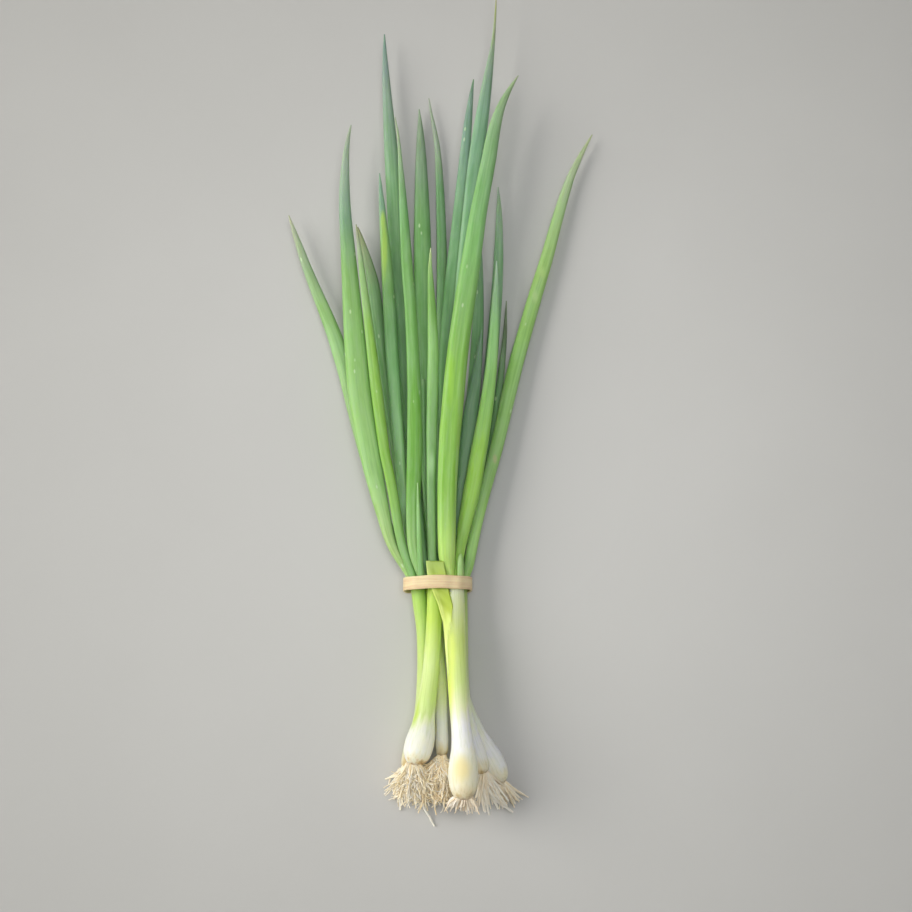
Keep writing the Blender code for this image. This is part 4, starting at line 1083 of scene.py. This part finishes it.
# Under the upper left bulb the tuft is thick and tangled, and hangs straight down. The strands that
# follow the random ones stand out from their tuft: x, y, z, half thickness and lightness along each.
add_roots("left_top", tuft(
    seed=11, base=(-10.7, -80.2, 16), plate=(2.9, 2.2), headings=(-30, 34, -50, 6), lengths=(10, 16.5),
    count=190, droop=0.9, curl=0.8, thicks=(0.28, 0.46), tones=(0.3, 1)) + tangle(
    seed=21, near=(-10.9, -83, 14.6), far=(-10.6, -92, 8.6), spread=(6.4, 2, 2.2), lengths=(4, 9),
    count=560, curl=1.6, thicks=(0.26, 0.46), tones=(0.4, 1)) + [
        [(-13, -80.6, 15.6, 0.6, 0.9), (-14, -83.6, 15, 0.55, 0.9), (-14.4, -87.6, 13.6, 0.5, 0.9),
         (-14.2, -91.6, 11.8, 0.4, 0.9), (-14.6, -95.4, 10.2, 0.3, 0.9)],
        [(-9.6, -81.4, 15, 0.6, 1), (-8.6, -86, 14.4, 0.55, 1), (-8.4, -91, 12.8, 0.5, 1),
         (-7.4, -96, 10.2, 0.4, 1)]],
    skin=STRAW, seed=1.0)

add_roots("left_low", tuft(
    seed=12, base=(-13.4, -83, 3.9), plate=(1.6, 1.4), headings=(-34, 20, -10, 25), lengths=(8, 15),
    count=60, droop=0.5, curl=0.7, thicks=(0.32, 0.5), tones=(0.4, 1)) + [
        [(-14.4, -80.6, 5.6, 0.75, 0.4), (-16, -82.4, 6.4, 0.75, 0.4), (-17.2, -84.2, 5.8, 0.7, 0.4),
         (-19, -85.4, 4.4, 0.6, 0.4), (-21, -85.9, 3, 0.55, 0.5), (-23.4, -86.6, 1.8, 0.4, 0.5)],
        [(-14.8, -82, 4.6, 0.7, 0.4), (-17.6, -84.6, 4.2, 0.65, 0.4), (-19.6, -88, 2.8, 0.55, 0.4),
         (-19.9, -92.2, 1.4, 0.4, 1)],
        [(-15.2, -81.2, 4.6, 0.6, 0.4), (-17.9, -83.6, 3.4, 0.5, 0.4), (-21.2, -86.2, 2.2, 0.45, 0.4),
         (-21.9, -89.2, 1.2, 0.35, 1)],
        [(-14, -85, 3.4, 0.55, 0.9), (-15.6, -90, 2.4, 0.5, 0.9), (-16.6, -95.4, 1.2, 0.45, 0.9),
         (-17, -100.4, 0.7, 0.35, 0.9)]],
    skin=FRESH, seed=2.0)

# The middle onion's roots fill the space between the two front bulbs.
add_roots("middle", tuft(
    seed=13, base=(2.1, -76.8, 12), plate=(1.8, 1.6), headings=(-40, 22, -40, 14), lengths=(12, 21),
    count=130, droop=0.5, curl=0.7, thicks=(0.3, 0.5), tones=(0.2, 0.9)) + tangle(
    seed=23, near=(1.2, -78, 13.4), far=(-0.6, -93, 7.4), spread=(6.2, 2.4, 2.4), lengths=(4, 9),
    count=560, curl=1.6, thicks=(0.28, 0.48), tones=(0.2, 1)) + [
        [(-3.6, -84, 9, 0.5, 1), (-6.4, -93, 5.4, 0.5, 1), (-6, -99, 2.4, 0.55, 1),
         (-4.2, -102.6, 1.2, 0.55, 1), (-2.8, -104.8, 0.9, 0.5, 1), (-1.3, -107.4, 0.8, 0.4, 1)]],
    skin=STRAW, seed=3.0)

# The front bulb's roots are cut short, and a little pinkish.
add_roots("right_top", tuft(
    seed=14, base=(11.9, -95, 22), plate=(3.6, 1.8), headings=(-58, 44, -62, 10), lengths=(4, 8.5),
    count=130, droop=0.9, curl=0.8, thicks=(0.32, 0.52), tones=(0.4, 1)) + [
        [(8.2, -94.6, 21.6, 0.7, 1), (6.6, -95.4, 20.6, 0.8, 1), (5.4, -96.8, 19.4, 0.7, 1),
         (4.9, -98, 18.6, 0.5, 1)],
        [(8.8, -95.2, 21, 0.7, 1), (7.4, -96.6, 19.8, 0.7, 1), (6.4, -98.2, 18.6, 0.5, 1)]],
    skin=root_skin("cut_pinkish_roots", "#e0c29a", "#f6e4c6", "#fdf5e6"), seed=4.0)

# Under the two right bulbs the roots are fewer, thicker and straighter.
add_roots("right_mid", tuft(
    seed=15, base=(20.5, -84, 13.9), plate=(1.8, 1.4), headings=(-20, 34, -35, 5), lengths=(9, 18),
    count=78, droop=0.5, curl=0.35, thicks=(0.42, 0.66), tones=(0.4, 1)) + [
        [(19.2, -84.6, 14, 0.8, 0.9), (20, -89, 12.6, 0.85, 1), (21.2, -94.4, 10.4, 0.8, 1),
         (23.2, -102.4, 6.8, 0.5, 1)],
        [(18.6, -84.4, 13.6, 0.8, 0.8), (18.6, -90.4, 11.8, 0.8, 0.9), (20, -96.2, 8.6, 0.75, 1),
         (21.4, -101.2, 6.4, 0.5, 1)],
        [(20.6, -85, 14.2, 0.8, 0.9), (22.4, -90.4, 12.6, 0.8, 1), (25.6, -95.2, 9.6, 0.8, 1),
         (29.6, -98.4, 6.4, 0.75, 1), (33.8, -101.2, 3.6, 0.5, 1)],
        [(21.8, -85, 14, 0.8, 0.9), (24.6, -88.8, 12.6, 0.8, 1), (28, -92, 10, 0.7, 1),
         (31.6, -96.2, 6.8, 0.5, 1)],
        [(21, -84.8, 13.2, 0.8, 0.9), (23, -90.6, 11.4, 0.8, 1), (25, -95.4, 8.8, 0.7, 1),
         (27, -99.8, 6.4, 0.5, 1)]],
    skin=FRESH, seed=5.0, crook=0.5)

add_roots("right_low", tuft(
    seed=16, base=(28.9, -88.2, 5), plate=(1.8, 1.4), headings=(-6, 48, -25, 12), lengths=(6, 13),
    count=60, droop=0.5, curl=0.4, thicks=(0.4, 0.6), tones=(0.2, 0.9)) + [
        [(29.8, -88.6, 5.6, 0.7, 0.8), (32.4, -90.6, 4.6, 0.65, 0.8), (35, -93.2, 2.6, 0.5, 0.8),
         (36.6, -95.2, 1.2, 0.4, 0.8)]],
    skin=FRESH, seed=6.0, crook=0.5)
